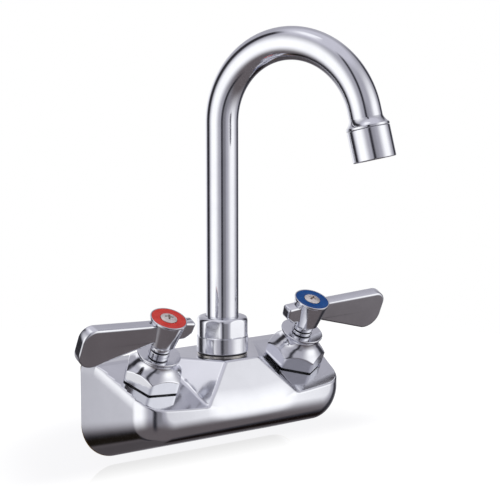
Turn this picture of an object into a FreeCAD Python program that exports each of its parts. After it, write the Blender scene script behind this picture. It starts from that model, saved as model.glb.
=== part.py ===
import FreeCAD, Part
import math
import os

from FreeCAD import Placement, Rotation, Vector

# Wall-mounted sink faucet with two quarter-turn handles and a swivelling gooseneck, in millimetres.
# The frame: the wall plane is y = 0 and +Y points into the wall, so the faucet stands out along -Y.
# X runs along the body, hot side negative, and z = 0 is the height of the two inlets.

# Body casting
VALVE_SPACING = 101.6                # centre to centre of the inlets, and of the valves
WALL_HALF_WIDTH = 79.0               # half the body's width at the wall
NOSE_HALF_WIDTH = 68.6               # and at the nose
BODY_TOP = 32.2
BODY_BOTTOM = -25.8                  # at the wall
BODY_DEPTH = 60.5                    # wall to the front of the nose, on the centre line
UNDERSIDE_RISE = 18.0                # degrees, the underside climbs towards the nose
END_CORNER_WALL = 22.0               # radius of the lower corners at the wall
END_CORNER_NOSE = 15.0               # and at the nose
FRONT_BOW = 390.0                    # radius of the front in plan
NOSE_ROUND = 11.5
BLANK_TOP = 48.0                     # the casting's blank before its top is shaped
WALL_THICKNESS = 4.0

# Sloped pads that carry the valves, and the hump between them
PAD_TILT = 25.2                      # degrees, forward
PAD_FRONT_Y = -54.2
PAD_FRONT_Z = 12.3
PAD_EDGE_ROUND = 3.4                 # along the body's ends
RIDGE_ROUND = 1.0
HUMP_TOP_FRONT = (11.4, -47.4)       # corner of the deck over the front slope, x and y
HUMP_FOOT = (32.0, -59.6)            # where the slope meets the front of a pad, x and y
HUMP_BACK = (33.2, -13.4)            # where the deck, a pad and the hump's side meet, x and y

# Spout
RISER_Y = -28.2
TUBE_OUTER = 9.35                    # radius of the tube
TUBE_WALL = 1.1
BEND_RADIUS = 45.8
BEND_CENTRE_Z = 166.2
BEND_ANGLE = 166.0                   # degrees of arc, so the outlet leans outwards
OUTLET_STRAIGHT = 5.2                # straight end of the tube after the bend
SPOUT_TURN = 22.9                    # degrees from straight ahead, towards the cold side
SOCKET_DEPTH = 16.0
SOCKET_BORE = 11.9
FERRULE_RADIUS = 10.7
FERRULE_DEPTH = 13.0                 # below the deck
FERRULE_TOP = 11.0                   # above the deck
BUSHING_BORE = 10.75
FLANGE_HEIGHT = 0.7
SPOUT_GASKET = 2.0
NUT_RADIUS = 14.95                   # the round skirt, and the turned corners of the hexagon over it
NUT_SKIRT = 8.3
NUT_HEX_HEIGHT = 11.2
NUT_FLATS = 28.2                     # across flats
NUT_TURN = 1.6                       # degrees, how the hexagon happens to stand
SEAM_DEPTH = 0.35

# Outlet
FLARE_LENGTH = 4.3
ADAPTER_RADIUS = 12.1
ADAPTER_RIM = 1.2
SHELL_LENGTH = 17.5
SHELL_RADIUS = 12.0
SHELL_BORE = 10.4
SHELL_LIP_BORE = 8.6

# Valves, measured along each valve's own axis from the pad
VALVE_Y = -30.1
FOOT_GASKET = 0.9
HEX_CORNER = 17.7                    # radius to the corners of the bonnet's hexagon
BONNET_HEIGHT = 18.0
BONNET_DISC = 12.0
BONNET_NECK = 10.9
BONNET_TURNS = {-1: -6.2, 1: 26.5}   # degrees, how each hexagon happens to stand
BONNET_SKIRT = 9.0                   # threaded length inside the body
VALVE_BORE = 11.9
VALVE_CHAMBER = 15.4                 # depth of the bore under the pad
STEM_RADIUS = 4.95
SPLINE_RADIUS = 5.9
STEM_CLEARANCE = 0.05
DISC_RADIUS = 9.0
DISC_THICKNESS = 2.4
FACE_GAP = 0.02                      # running gap between turning faces

# Handles, along the same axis
HUB_BOTTOM = 26.0
HUB_TOP = 41.8
HUB_FOOT_RADIUS = 7.7
HUB_HEAD_RADIUS = 10.2
CAP_RADIUS = 10.5
INDEX_RADIUS = 9.8
INDEX_DEPTH = 1.5
SCREW_HEAD = 4.7
BLADE_THICKNESS = 7.0
BLADE_ROUND = 1.3
SPLINE_TEETH = 16
SPLINE_DEPTH = 0.7

# Inlet shanks and their fixings behind the wall
SHANK_RADIUS = 10.45                 # half-inch pipe thread
SHANK_BORE = 7.6
SHANK_LENGTH = 30.0                  # beyond the wall plane
SHANK_RELIEF = (12.5, 13.5)          # groove between the lock nut's thread and the supply's
SHANK_ENGAGED = 12.0                 # inside the body
RUBBER_WASHER = 2.0
STEEL_WASHER = 1.4
LOCK_NUT_HEIGHT = 6.5
LOCK_NUT_FLATS = 28.0

VALVE_X = VALVE_SPACING / 2
SIDES = {"hot": -1, "cold": 1}
BIG = 400.0


def closed_wire(points, place):
    """A closed wire through (a, b) points; an item of four numbers is an arc through its first pair."""
    edges = []
    last = points[0]
    for item in list(points[1:]) + [points[0]]:
        end = item[-2:]
        if len(item) == 4:
            edges.append(Part.Arc(place(*last), place(*item[:2]), place(*end)).toShape())
        elif math.dist(last, end) > 1e-6:
            edges.append(Part.LineSegment(place(*last), place(*end)).toShape())
        last = end
    return Part.Wire(edges)


def rounded_wire(corners, place):
    """A closed wire through (a, b, radius) corners, each rounded by its own radius."""
    edges = []
    last = None
    count = len(corners)
    for i in range(count + 1):
        a, b, radius = corners[i % count]
        before, after = corners[i - 1 if i else count - 1], corners[(i + 1) % count]
        back = Vector(before[0] - a, before[1] - b, 0).normalize()
        ahead = Vector(after[0] - a, after[1] - b, 0).normalize()
        half = back.getAngle(ahead) / 2
        reach = radius / math.tan(half)
        start, end = (a + back.x * reach, b + back.y * reach), (a + ahead.x * reach, b + ahead.y * reach)
        if last:
            edges.append(Part.LineSegment(place(*last), place(*start)).toShape())
        if radius and i < count:
            middle = (back + ahead).normalize() * (radius / math.sin(half) - radius)
            edges.append(Part.Arc(place(*start), place(a + middle.x, b + middle.y), place(*end)).toShape())
        last = end
    return Part.Wire(edges)


def turned(points):
    """A solid of revolution about Z from a closed outline of (radius, height) points."""
    face = Part.Face(closed_wire(points, lambda r, z: Vector(r, 0, z)))
    return face.revolve(Vector(0, 0, 0), Vector(0, 0, 1), 360)


def ring(outer, inner, bottom, top):
    """A plain round sleeve about Z."""
    return turned([(inner, bottom), (outer, bottom), (outer, top), (inner, top)])


def rod(radius, bottom, top):
    """A plain cylinder about Z."""
    return Part.makeCylinder(radius, top - bottom, Vector(0, 0, bottom))


def prism(sides, corner_radius, bottom, top, turn=0.0):
    """A regular prism about Z, with a flat facing -Y when it isn't turned."""
    step = 2 * math.pi / sides
    start = -math.pi / 2 + step / 2 + math.radians(turn)
    corners = [Vector(corner_radius * math.cos(start + step * i),
                      corner_radius * math.sin(start + step * i), bottom) for i in range(sides)]
    return Part.Face(Part.makePolygon(corners + corners[:1])).extrude(Vector(0, 0, top - bottom))


def soft_ring(mean_radius, section_radius, height, sides=20):
    """An O-ring as a faceted torus of hexagonal section, standing at a height on Z."""
    def point(i, j):
        around = 2 * math.pi * i / sides
        over = 2 * math.pi * j / 6
        radius = mean_radius + section_radius * math.cos(over)
        return Vector(radius * math.cos(around), radius * math.sin(around),
                      height + section_radius * math.sin(over))
    faces = []
    for i in range(sides):
        for j in range(6):
            corners = [point(i, j), point(i + 1, j), point(i + 1, j + 1), point(i, j + 1)]
            faces.append(Part.Face(Part.makePolygon(corners + corners[:1])))
    solid = Part.Solid(Part.Shell(faces))
    if solid.Volume < 0:
        solid.reverse()
    return solid


def under(point, normal):
    """The half-space below a plane, as a large block."""
    block = Part.makeBox(BIG, BIG, BIG, Vector(-BIG / 2, -BIG / 2, -BIG))
    block.Placement = Placement(Vector(*point), Rotation(Vector(0, 0, 1), Vector(*normal)))
    return block


def plane_normal(a, b, c):
    """The upward unit normal of the plane through three points."""
    normal = (Vector(*b) - Vector(*a)).cross(Vector(*c) - Vector(*a))
    normal.normalize()
    return normal if normal.z > 0 else normal.negative()


def save(shapes, node):
    """Writes one node's STEP file and reports its size."""
    shape = shapes if isinstance(shapes, Part.Shape) else Part.Compound(shapes)
    if not shape.isValid() or shape.Volume <= 0:
        raise RuntimeError(f"{node} isn't a sound solid")
    shape.exportStep(f"parts/{node}.step")
    box = shape.BoundBox
    print(f"{node:24s} {len(shape.Solids)} solid, {shape.Volume:9.1f} mm3, "
          f"x {box.XMin:.1f} {box.XMax:.1f}  y {box.YMin:.1f} {box.YMax:.1f}  z {box.ZMin:.1f} {box.ZMax:.1f}")


# Places in the frame

def pad_height(y):
    """Height of a pad at a distance from the wall."""
    return PAD_FRONT_Z + math.tan(math.radians(PAD_TILT)) * (y - PAD_FRONT_Y)


def valve_place(side):
    """Where a valve stands: its own Z is square to the pad, and its own Y points up the pad."""
    return Placement(Vector(side * VALVE_X, VALVE_Y, pad_height(VALVE_Y)),
                     Rotation(Vector(1, 0, 0), PAD_TILT))


def on_valve(shape, side):
    """The shape moved from the valve's own axes to its place on the body."""
    moved = shape.copy()
    moved.Placement = valve_place(side).multiply(moved.Placement)
    return moved


def on_riser(shape, height=BODY_TOP):
    """The shape moved from its own Z axis to the riser's, measured up from the deck."""
    moved = shape.copy()
    moved.translate(Vector(0, RISER_Y, height))
    return moved


def on_spout(shape):
    """The shape moved from a spout that points straight ahead to its place at rest."""
    moved = shape.copy()
    moved.rotate(Vector(0, RISER_Y, 0), Vector(0, 0, 1), SPOUT_TURN)
    return moved


def into_wall(shape, side):
    """The shape moved from its own Z axis to an inlet's, where Z becomes the way into the wall."""
    moved = shape.copy()
    moved.Placement = Placement(Vector(side * VALVE_X, 0, 0), Rotation(Vector(1, 0, 0), -90)).multiply(moved.Placement)
    return moved


# Body

def end_section(y, half_width, bottom, corner):
    """The blank's section across the body: flat sides and bottom, with rounded lower corners."""
    cut = corner * (1 - math.sqrt(0.5))
    outline = [
        (half_width, BLANK_TOP), (half_width, bottom + corner),
        (half_width - cut, bottom + cut, half_width - corner, bottom),
        (corner - half_width, bottom),
        (cut - half_width, bottom + cut, -half_width, bottom + corner),
        (-half_width, BLANK_TOP),
    ]
    return closed_wire(outline, lambda x, z: Vector(x, y, z))


def blank(inset, front_round):
    """The casting before its top is shaped, or its inside where inset is the wall's thickness."""
    depth = BODY_DEPTH + 12.0
    flare = (WALL_HALF_WIDTH - NOSE_HALF_WIDTH) / BODY_DEPTH
    rise = math.tan(math.radians(UNDERSIDE_RISE))
    wall = end_section(0.0, WALL_HALF_WIDTH - inset, BODY_BOTTOM + inset, END_CORNER_WALL - inset)
    nose = end_section(-depth, WALL_HALF_WIDTH - flare * depth - inset,
                       BODY_BOTTOM + rise * depth + inset, END_CORNER_NOSE - inset)
    solid = Part.makeLoft([wall, nose], True, True)
    bow = Part.makeCylinder(FRONT_BOW, BIG, Vector(0, FRONT_BOW - BODY_DEPTH + inset, -BIG / 2))
    solid = solid.common(bow)
    front = [edge for edge in solid.Edges
             if edge.BoundBox.YMax < -BODY_DEPTH + inset + 8.5 and edge.BoundBox.ZMin < BLANK_TOP - 1]
    return solid.makeFillet(front_round, front)


def pads_under(offset):
    """Everything under the deck and the two pads, lowered by an offset."""
    tilt = math.radians(PAD_TILT)
    drop = offset / math.cos(tilt)
    deck = under((0, 0, BODY_TOP - offset), (0, 0, 1))
    return deck.common(under((0, PAD_FRONT_Y, PAD_FRONT_Z - drop), (0, -math.sin(tilt), math.cos(tilt))))


def hump():
    """The wedge between the pads, whose flat top carries the spout."""
    def corner(spot, side, height):
        return (side * spot[0], spot[1], height)
    foot_z = pad_height(HUMP_FOOT[1])
    solid = under((0, 0, BODY_TOP), (0, 0, 1))
    front = [corner(HUMP_TOP_FRONT, -1, BODY_TOP), corner(HUMP_TOP_FRONT, 1, BODY_TOP), corner(HUMP_FOOT, 1, foot_z)]
    solid = solid.common(under(front[0], plane_normal(*front)))
    for side in (-1, 1):
        facet = [corner(HUMP_TOP_FRONT, side, BODY_TOP), corner(HUMP_FOOT, side, foot_z),
                 corner(HUMP_BACK, side, BODY_TOP)]
        solid = solid.common(under(facet[0], plane_normal(*facet)))
    ridges = [edge for edge in solid.Edges
              if edge.BoundBox.ZMax < BODY_TOP + 0.1 and edge.BoundBox.YMax < HUMP_BACK[1] + 60
              and any(math.dist((v.X, v.Y, v.Z), corner(HUMP_TOP_FRONT, s, BODY_TOP)) < 0.1
                      for v in edge.Vertexes for s in (-1, 1))]
    return solid.makeFillet(RIDGE_ROUND, ridges)


def faucet_body():
    """The hollow casting, open at the wall, with its inlet bosses, valve seats and spout socket."""
    outside = blank(0.0, NOSE_ROUND)
    pads = outside.common(pads_under(0.0))
    ends = [edge for edge in pads.Edges if is_pad_side(edge)]
    pads = pads.makeFillet(PAD_EDGE_ROUND, ends)
    shell = pads.fuse(outside.common(hump())).removeSplitter()
    shell = shell.cut(blank(WALL_THICKNESS, NOSE_ROUND - WALL_THICKNESS).common(pads_under(WALL_THICKNESS)))

    bosses = []
    bores = []
    for side in SIDES.values():
        bosses.append(into_wall(rod(14.5, -34.0, -1.0), side))
        bosses.append(on_valve(rod(15.0, -VALVE_CHAMBER - 4.0, -1.0), side))
        bores.append(into_wall(rod(SHANK_RADIUS + 0.05, -SHANK_ENGAGED, 1.0), side))
        bores.append(into_wall(rod(SHANK_BORE, -30.0, 1.0), side))
        bores.append(on_valve(rod(VALVE_BORE, -VALVE_CHAMBER, 1.0), side))
    channel = Part.makeCylinder(8.0, VALVE_SPACING, Vector(-VALVE_X, RISER_Y, 12.0), Vector(1, 0, 0))
    waterway = Part.makeCylinder(5.0, VALVE_SPACING, Vector(-VALVE_X, RISER_Y, 12.0), Vector(1, 0, 0))
    socket = on_riser(rod(15.5, -SOCKET_DEPTH - 12.0, -1.0))
    inside = outside.common(pads_under(0.5))
    for boss in bosses + [channel, socket]:
        shell = shell.fuse(boss.common(inside))
    bores += [waterway, on_riser(rod(SOCKET_BORE, -SOCKET_DEPTH, 1.0))]
    for bore in bores:
        shell = shell.cut(bore)
    return shell


def is_pad_side(edge):
    """Whether an edge of the shaped blank runs along a pad's outer side."""
    box = edge.BoundBox
    middle = edge.valueAt((edge.FirstParameter + edge.LastParameter) / 2)
    return (abs(middle.x) > NOSE_HALF_WIDTH - 2 and box.YLength > 6.0
            and middle.z > PAD_FRONT_Z - 1 and abs(middle.z - min(BODY_TOP, pad_height(middle.y))) < 0.5)


# Spout

def spout_bushing():
    """Brass neck screwed into the body, with the flange that shows under the nut."""
    thread = 13.1
    base = FLANGE_HEIGHT + SPOUT_GASKET
    return on_riser(turned([
        (BUSHING_BORE, -SOCKET_DEPTH + 1.0), (SOCKET_BORE - 0.1, -SOCKET_DEPTH + 1.0), (SOCKET_BORE - 0.1, 0.0),
        (NUT_RADIUS, 0.0), (NUT_RADIUS, FLANGE_HEIGHT), (thread, FLANGE_HEIGHT),
        (thread, base + NUT_SKIRT - 1.0), (BUSHING_BORE, base + NUT_SKIRT - 1.0)]))


def spout_gasket():
    """Black ring squeezed between the nut and the brass flange."""
    return on_riser(ring(NUT_RADIUS - 0.3, 13.15, FLANGE_HEIGHT, FLANGE_HEIGHT + SPOUT_GASKET))


def spout_nut():
    """Chrome coupling nut: a round skirt, a fine seam and a hexagon whose corners are turned round."""
    bottom = FLANGE_HEIGHT + SPOUT_GASKET
    seam = bottom + NUT_SKIRT
    top = seam + NUT_HEX_HEIGHT
    corner = NUT_FLATS / 2 / math.cos(math.pi / 6)
    outside = turned([
        (0, bottom), (NUT_RADIUS - 0.4, bottom), (NUT_RADIUS, bottom + 0.4), (NUT_RADIUS, seam - SEAM_DEPTH),
        (NUT_RADIUS - SEAM_DEPTH, seam), (NUT_RADIUS, seam + SEAM_DEPTH), (NUT_RADIUS, top - 2.2),
        (NUT_RADIUS - 0.75, top - 0.75, 12.6, top), (0, top)])
    hexagon = prism(6, corner, seam, top, NUT_TURN).fuse(rod(NUT_RADIUS, bottom - 1.0, seam))
    bore = turned([(0, bottom - 1), (13.2, bottom - 1), (13.2, FERRULE_TOP + 2.6),
                   (TUBE_OUTER + 0.25, FERRULE_TOP + 2.6), (TUBE_OUTER + 0.25, top + 1), (0, top + 1)])
    return on_riser(outside.common(hexagon).cut(bore))


def spout_tube():
    """Gooseneck tube: a straight riser and one bend, open at both ends."""
    low = BODY_TOP - FERRULE_DEPTH + 1.0
    riser = ring(TUBE_OUTER, TUBE_OUTER - TUBE_WALL, low, BEND_CENTRE_Z)
    riser.translate(Vector(0, RISER_Y, 0))
    start = Vector(0, RISER_Y, BEND_CENTRE_Z)
    outer, inner = [
        Part.Face(Part.Wire(Part.makeCircle(radius, start))).revolve(
            Vector(0, RISER_Y - BEND_RADIUS, BEND_CENTRE_Z), Vector(1, 0, 0), BEND_ANGLE)
        for radius in (TUBE_OUTER, TUBE_OUTER - TUBE_WALL)]
    end = ring(TUBE_OUTER, TUBE_OUTER - TUBE_WALL, 0.0, OUTLET_STRAIGHT)
    end.Placement = bend_end()
    return on_spout(riser.fuse(outer.cut(inner)).fuse(end))


def bend_end():
    """The end of the bend: its own Z points the way the water leaves."""
    turn = math.radians(BEND_ANGLE)
    end = Vector(0, RISER_Y - BEND_RADIUS * (1 - math.cos(turn)), BEND_CENTRE_Z + BEND_RADIUS * math.sin(turn))
    return Placement(end, Rotation(Vector(0, 0, 1), Vector(0, -math.sin(turn), math.cos(turn))))


def on_outlet(shape):
    """The shape moved from its own Z axis, pointing the way the water leaves, to the tube's open end."""
    moved = shape.copy()
    moved.translate(Vector(0, 0, OUTLET_STRAIGHT))
    moved.Placement = bend_end().multiply(moved.Placement)
    return on_spout(moved)


def spout_ferrule():
    """Brass sleeve brazed on the riser's foot, which turns in the bushing and carries the O-rings."""
    low, high = -FERRULE_DEPTH, FERRULE_TOP
    floor = TUBE_OUTER + 0.3
    outline = [(TUBE_OUTER, low), (FERRULE_RADIUS, low)]
    for centre in (-8.0, -3.0):
        outline += [(FERRULE_RADIUS, centre - 1.0), (floor, centre - 1.0),
                    (floor, centre + 1.0), (FERRULE_RADIUS, centre + 1.0)]
    outline += [(FERRULE_RADIUS, high), (TUBE_OUTER, high)]
    return on_riser(turned(outline))


def spout_o_rings():
    """The two rings that seal the turning joint."""
    return [on_riser(soft_ring(10.25, 0.42, centre)) for centre in (-8.0, -3.0)]


def spout_slip_ring():
    """Split plastic ring that the nut holds down on the ferrule, so the spout turns freely."""
    low = FERRULE_TOP + FACE_GAP
    whole = ring(12.9, TUBE_OUTER + 0.05, low, low + 2.4)
    return on_riser(whole.cut(Part.makeBox(1.2, 20.0, 10.0, Vector(-0.6, 0, FERRULE_TOP - 2))))


def outlet_adapter():
    """Flared fitting brazed into the tube's open end, threaded outside for the aerator."""
    rim = FLARE_LENGTH + ADAPTER_RIM
    thread = SHELL_BORE - 0.1
    spigot = TUBE_OUTER - TUBE_WALL - 0.05
    return on_outlet(turned([
        (7.3, -6.0), (spigot, -6.0), (spigot, 0.02), (TUBE_OUTER, 0.02),
        (TUBE_OUTER + 0.75, 1.9, ADAPTER_RADIUS, FLARE_LENGTH), (ADAPTER_RADIUS, rim),
        (thread, rim), (thread, rim + 6.0), (7.3, rim + 6.0)]))


def aerator_shell():
    """Chrome shell screwed over the outlet, with the lip that holds the insert."""
    top = FLARE_LENGTH + ADAPTER_RIM + 0.25
    bottom = top + SHELL_LENGTH
    return on_outlet(turned([
        (SHELL_BORE, top), (SHELL_RADIUS - 0.2, top), (SHELL_RADIUS, top + 0.3), (SHELL_RADIUS, bottom - 0.5),
        (SHELL_RADIUS - 0.5, bottom), (SHELL_LIP_BORE, bottom), (SHELL_LIP_BORE, bottom - 1.4),
        (SHELL_BORE, bottom - 1.4)]))


def aerator_washer():
    """Rubber washer between the outlet's end and the insert."""
    top = FLARE_LENGTH + ADAPTER_RIM + 6.1
    return on_outlet(ring(SHELL_BORE - 0.2, 7.6, top, top + 1.6))


def aerator_insert():
    """Plastic cup with a slotted plate that mixes air into the water."""
    top = FLARE_LENGTH + ADAPTER_RIM + 7.8
    bottom = FLARE_LENGTH + ADAPTER_RIM + 0.25 + SHELL_LENGTH - 1.5
    cup = turned([(0, top), (SHELL_BORE - 0.3, top), (SHELL_BORE - 0.3, top + 1.5), (SHELL_LIP_BORE - 0.4, top + 2.2),
                  (SHELL_LIP_BORE - 0.4, bottom - 1.0), (SHELL_BORE - 0.6, bottom - 1.0), (SHELL_BORE - 0.6, bottom),
                  (7.6, bottom), (7.6, top + 1.8), (0, top + 1.8)])
    slots = [Part.makeBox(1.2, 2.0 * math.sqrt(36.0 - x * x), 4.0,
                          Vector(x - 0.6, -math.sqrt(36.0 - x * x), top - 1)) for x in (-4.0, -1.4, 1.4, 4.0)]
    return on_outlet(cup.cut(Part.Compound(slots)))


def aerator_screen():
    """Round gauze across the mouth, as one thin disc with a square mesh of holes."""
    bottom = FLARE_LENGTH + ADAPTER_RIM + 0.25 + SHELL_LENGTH - 2.6
    disc = rod(7.5, bottom - 0.5, bottom)
    pitch, hole = 3.2, 2.2
    holes = [Part.makeBox(hole, hole, 2.0, Vector(i * pitch - hole / 2, j * pitch - hole / 2, bottom - 1))
             for i in range(-2, 3) for j in range(-2, 3) if math.hypot(i, j) * pitch < 6.0]
    return on_outlet(disc.cut(Part.Compound(holes)))


# Valves

def bonnet(side):
    """Chrome bonnet: a hexagon that rolls over into a waisted neck under a round disc."""
    apothem = HEX_CORNER * math.cos(math.pi / 6)
    outside = turned([
        (0, FOOT_GASKET), (HEX_CORNER + 0.6, FOOT_GASKET), (HEX_CORNER + 0.6, 5.4), (HEX_CORNER, 6.6),
        (apothem + 0.9, 9.3, apothem - 1.6, 11.0), (BONNET_NECK + 0.4, 12.3, BONNET_NECK, 14.8),
        (BONNET_NECK + 0.2, 16.2, BONNET_DISC - 0.3, 16.7), (BONNET_DISC, 17.1), (BONNET_DISC, 17.7),
        (BONNET_DISC - 0.3, BONNET_HEIGHT), (0, BONNET_HEIGHT)])
    head = outside.common(prism(6, HEX_CORNER, 0, BONNET_HEIGHT, BONNET_TURNS[side]))
    skirt = rod(VALVE_BORE - 0.1, -BONNET_SKIRT, FOOT_GASKET)
    bore = STEM_RADIUS + STEM_CLEARANCE
    inside = turned([
        (0, -BONNET_SKIRT - 1), (9.4, -BONNET_SKIRT - 1), (9.4, -3.0), (bore + 0.9, -3.0 + 1.6), (bore, -1.4),
        (bore, 15.0), (5.6, 15.0), (5.6, BONNET_HEIGHT + 1), (0, BONNET_HEIGHT + 1)])
    return on_valve(head.fuse(skirt).cut(inside), side)


def bonnet_gasket(side):
    """Black ring under the bonnet's foot."""
    return on_valve(ring(14.9, VALVE_BORE, 0.0, FOOT_GASKET), side)


def stem_bushing(side):
    """Chrome gland in the bonnet's top, whose collar shows round the stem."""
    bore = STEM_RADIUS + STEM_CLEARANCE
    return on_valve(turned([
        (bore, 15.1), (5.55, 15.1), (5.55, BONNET_HEIGHT), (6.3, BONNET_HEIGHT), (6.3, BONNET_HEIGHT + 2.2),
        (6.0, BONNET_HEIGHT + 2.5), (bore, BONNET_HEIGHT + 2.5)]), side)


def fixed_disc(side):
    """Ceramic disc that stays in the body, with a port on each half."""
    top = -BONNET_SKIRT - DISC_THICKNESS - FACE_GAP
    disc = rod(DISC_RADIUS, top - DISC_THICKNESS, top)
    ports = [rod(2.6, top - 5, top + 5).translated(Vector(x, 0, 0)) for x in (-4.6, 4.6)]
    return on_valve(disc.cut(Part.Compound(ports)), side)


def moving_disc(side):
    """Ceramic disc that turns with the stem and opens or covers the ports."""
    bottom = -BONNET_SKIRT - DISC_THICKNESS
    disc = rod(DISC_RADIUS, bottom, bottom + DISC_THICKNESS)
    ports = [rod(2.6, bottom - 5, bottom + 5).translated(Vector(0, y, 0)) for y in (-4.6, 4.6)]
    return on_valve(disc.cut(Part.Compound(ports)), side)


def seat_seal(side):
    """Rubber ring that presses the fixed disc up from the bottom of the bore."""
    top = -BONNET_SKIRT - 2 * DISC_THICKNESS - FACE_GAP
    return on_valve(ring(8.6, 6.4, -VALVE_CHAMBER, top), side)


def spline(bottom, top, tip, depth):
    """A toothed bar about Z: a ring of vee teeth, each tooth one pair of flats."""
    corners = []
    for i in range(SPLINE_TEETH):
        for radius, part in ((tip, 0.0), (tip - depth, 0.5)):
            angle = 2 * math.pi * (i + part) / SPLINE_TEETH
            corners.append(Vector(radius * math.cos(angle), radius * math.sin(angle), bottom))
    return Part.Face(Part.makePolygon(corners + corners[:1])).extrude(Vector(0, 0, top - bottom))


def spindle(side):
    """Brass stem: a foot that drives the moving disc, a round shaft with a seal groove, and a spline."""
    foot = -BONNET_SKIRT
    shaft = turned([
        (0, foot), (8.4, foot), (8.4, foot + 3.2), (STEM_RADIUS, foot + 5.2), (STEM_RADIUS, 5.0),
        (STEM_RADIUS - 0.9, 5.0), (STEM_RADIUS - 0.9, 7.0), (STEM_RADIUS, 7.0), (STEM_RADIUS, 20.6),
        (STEM_RADIUS - 0.5, 20.6), (STEM_RADIUS - 0.5, 21.6), (SPLINE_RADIUS + 0.3, 21.6),
        (SPLINE_RADIUS + 0.3, 22.8), (0, 22.8)])
    toothed = spline(22.4, 35.0, SPLINE_RADIUS, SPLINE_DEPTH)
    return on_valve(shaft.fuse(toothed).cut(rod(2.0, 26.0, 36.0)), side)


def stem_o_ring(side):
    """Ring that keeps water from climbing the stem."""
    return on_valve(soft_ring(STEM_RADIUS - 0.42, 0.42, 6.0), side)


def snap_ring(side):
    """Black spring clip that keeps the stem from dropping into the valve."""
    clip = ring(5.9, STEM_RADIUS - 0.45, 20.65, 21.5)
    return on_valve(clip.cut(Part.makeBox(2.4, 10.0, 5.0, Vector(-1.2, 0, 19.0))), side)


# Outlines of the handle's blade and of its tail: distance out from the axis, height, and corner radius
BLADE_OUTLINE = [(0.0, 39.3, 0.0), (55.3, 42.5, 7.5), (55.8, 14.1, 10.0), (8.0, 28.0, 0.0), (0.0, 28.0, 0.0)]
TAIL_OUTLINE = [(0.0, 40.2, 0.0), (-17.9, 38.2, 1.6), (-17.0, 31.6, 2.5), (-12.5, 28.2, 4.0), (0.0, 28.0, 0.0)]


def lever(side):
    """Handle: a tapered hub with a tall paddle pointing outwards and a short tail opposite."""
    hub = turned([
        (0, HUB_BOTTOM), (HUB_FOOT_RADIUS - 0.4, HUB_BOTTOM), (HUB_FOOT_RADIUS, HUB_BOTTOM + 0.5),
        (HUB_HEAD_RADIUS, HUB_TOP - 1.4), (CAP_RADIUS, HUB_TOP - 1.1), (CAP_RADIUS, HUB_TOP - 0.3),
        (CAP_RADIUS - 0.3, HUB_TOP), (0, HUB_TOP)])
    plates = []
    for outline in (BLADE_OUTLINE, TAIL_OUTLINE):
        face = Part.Face(rounded_wire(outline, lambda a, h: Vector(side * a, -BLADE_THICKNESS / 2, h)))
        plate = face.extrude(Vector(0, BLADE_THICKNESS, 0))
        rims = [edge for edge in plate.Edges if edge.BoundBox.YLength < 0.01 and edge.BoundBox.XLength > 0.4]
        plates.append(plate.makeFillet(BLADE_ROUND, rims))
    body = hub.fuse(plates)
    recess = rod(INDEX_RADIUS + 0.05, HUB_TOP - INDEX_DEPTH, HUB_TOP + 1)
    socket = spline(HUB_BOTTOM - 1, 35.2, SPLINE_RADIUS + 0.06, SPLINE_DEPTH)
    for space in (recess, rod(2.3, 30.0, 41.0), socket):
        body = body.cut(space)
    return on_valve(body, side)


def index_ring(side):
    """Coloured ring let into the handle's top: red for hot, blue for cold."""
    low = HUB_TOP - INDEX_DEPTH
    return on_valve(turned([
        (SCREW_HEAD + 0.15, low), (INDEX_RADIUS, low), (INDEX_RADIUS, HUB_TOP - 0.2), (INDEX_RADIUS - 0.3, HUB_TOP),
        (SCREW_HEAD + 0.15, HUB_TOP)]), side)


def handle_screw(side):
    """Countersunk screw with a cross recess, which clamps the handle on the spline."""
    low = HUB_TOP - INDEX_DEPTH
    head = turned([(0, 29.0), (1.9, 29.0), (1.9, low), (SCREW_HEAD, low), (SCREW_HEAD, HUB_TOP + 0.2),
                   (2.6, HUB_TOP + 1.1, 0, HUB_TOP + 1.4)])
    slots = [Part.makeBox(4.4, 0.9, 2.0, Vector(-2.2, -0.45, HUB_TOP)),
             Part.makeBox(0.9, 4.4, 2.0, Vector(-0.45, -2.2, HUB_TOP))]
    cross = slots[0].fuse(slots[1])
    cross.rotate(Vector(0, 0, 0), Vector(0, 0, 1), 30.0 * side)
    return on_valve(head.cut(cross), side)


# Inlets

def inlet_shank(side):
    """Brass nipple screwed into the body, whose free end takes the supply's nut."""
    return into_wall(turned([
        (SHANK_BORE, -SHANK_ENGAGED), (SHANK_RADIUS, -SHANK_ENGAGED), (SHANK_RADIUS, SHANK_RELIEF[0]),
        (SHANK_RADIUS - 0.7, SHANK_RELIEF[0]), (SHANK_RADIUS - 0.7, SHANK_RELIEF[1]),
        (SHANK_RADIUS, SHANK_RELIEF[1]), (SHANK_RADIUS, SHANK_LENGTH - 1.0),
        (SHANK_RADIUS - 1.0, SHANK_LENGTH), (SHANK_BORE, SHANK_LENGTH)]), side)


def fixings(side):
    """The rubber washer, steel washer and lock nut that hold the body against the wall's panel."""
    bore = SHANK_RADIUS + 0.15
    steel = 2.0 + RUBBER_WASHER
    nut = steel + STEEL_WASHER
    corner = LOCK_NUT_FLATS / 2 / math.cos(math.pi / 6)
    hexagon = prism(6, corner, nut, nut + LOCK_NUT_HEIGHT).cut(rod(bore, nut - 1, nut + LOCK_NUT_HEIGHT + 1))
    return {
        "rubber_washer": into_wall(ring(15.5, bore, 2.0, steel), side),
        "steel_washer": into_wall(ring(15.5, bore, steel, nut), side),
        "lock_nut": into_wall(hexagon, side),
    }


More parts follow.
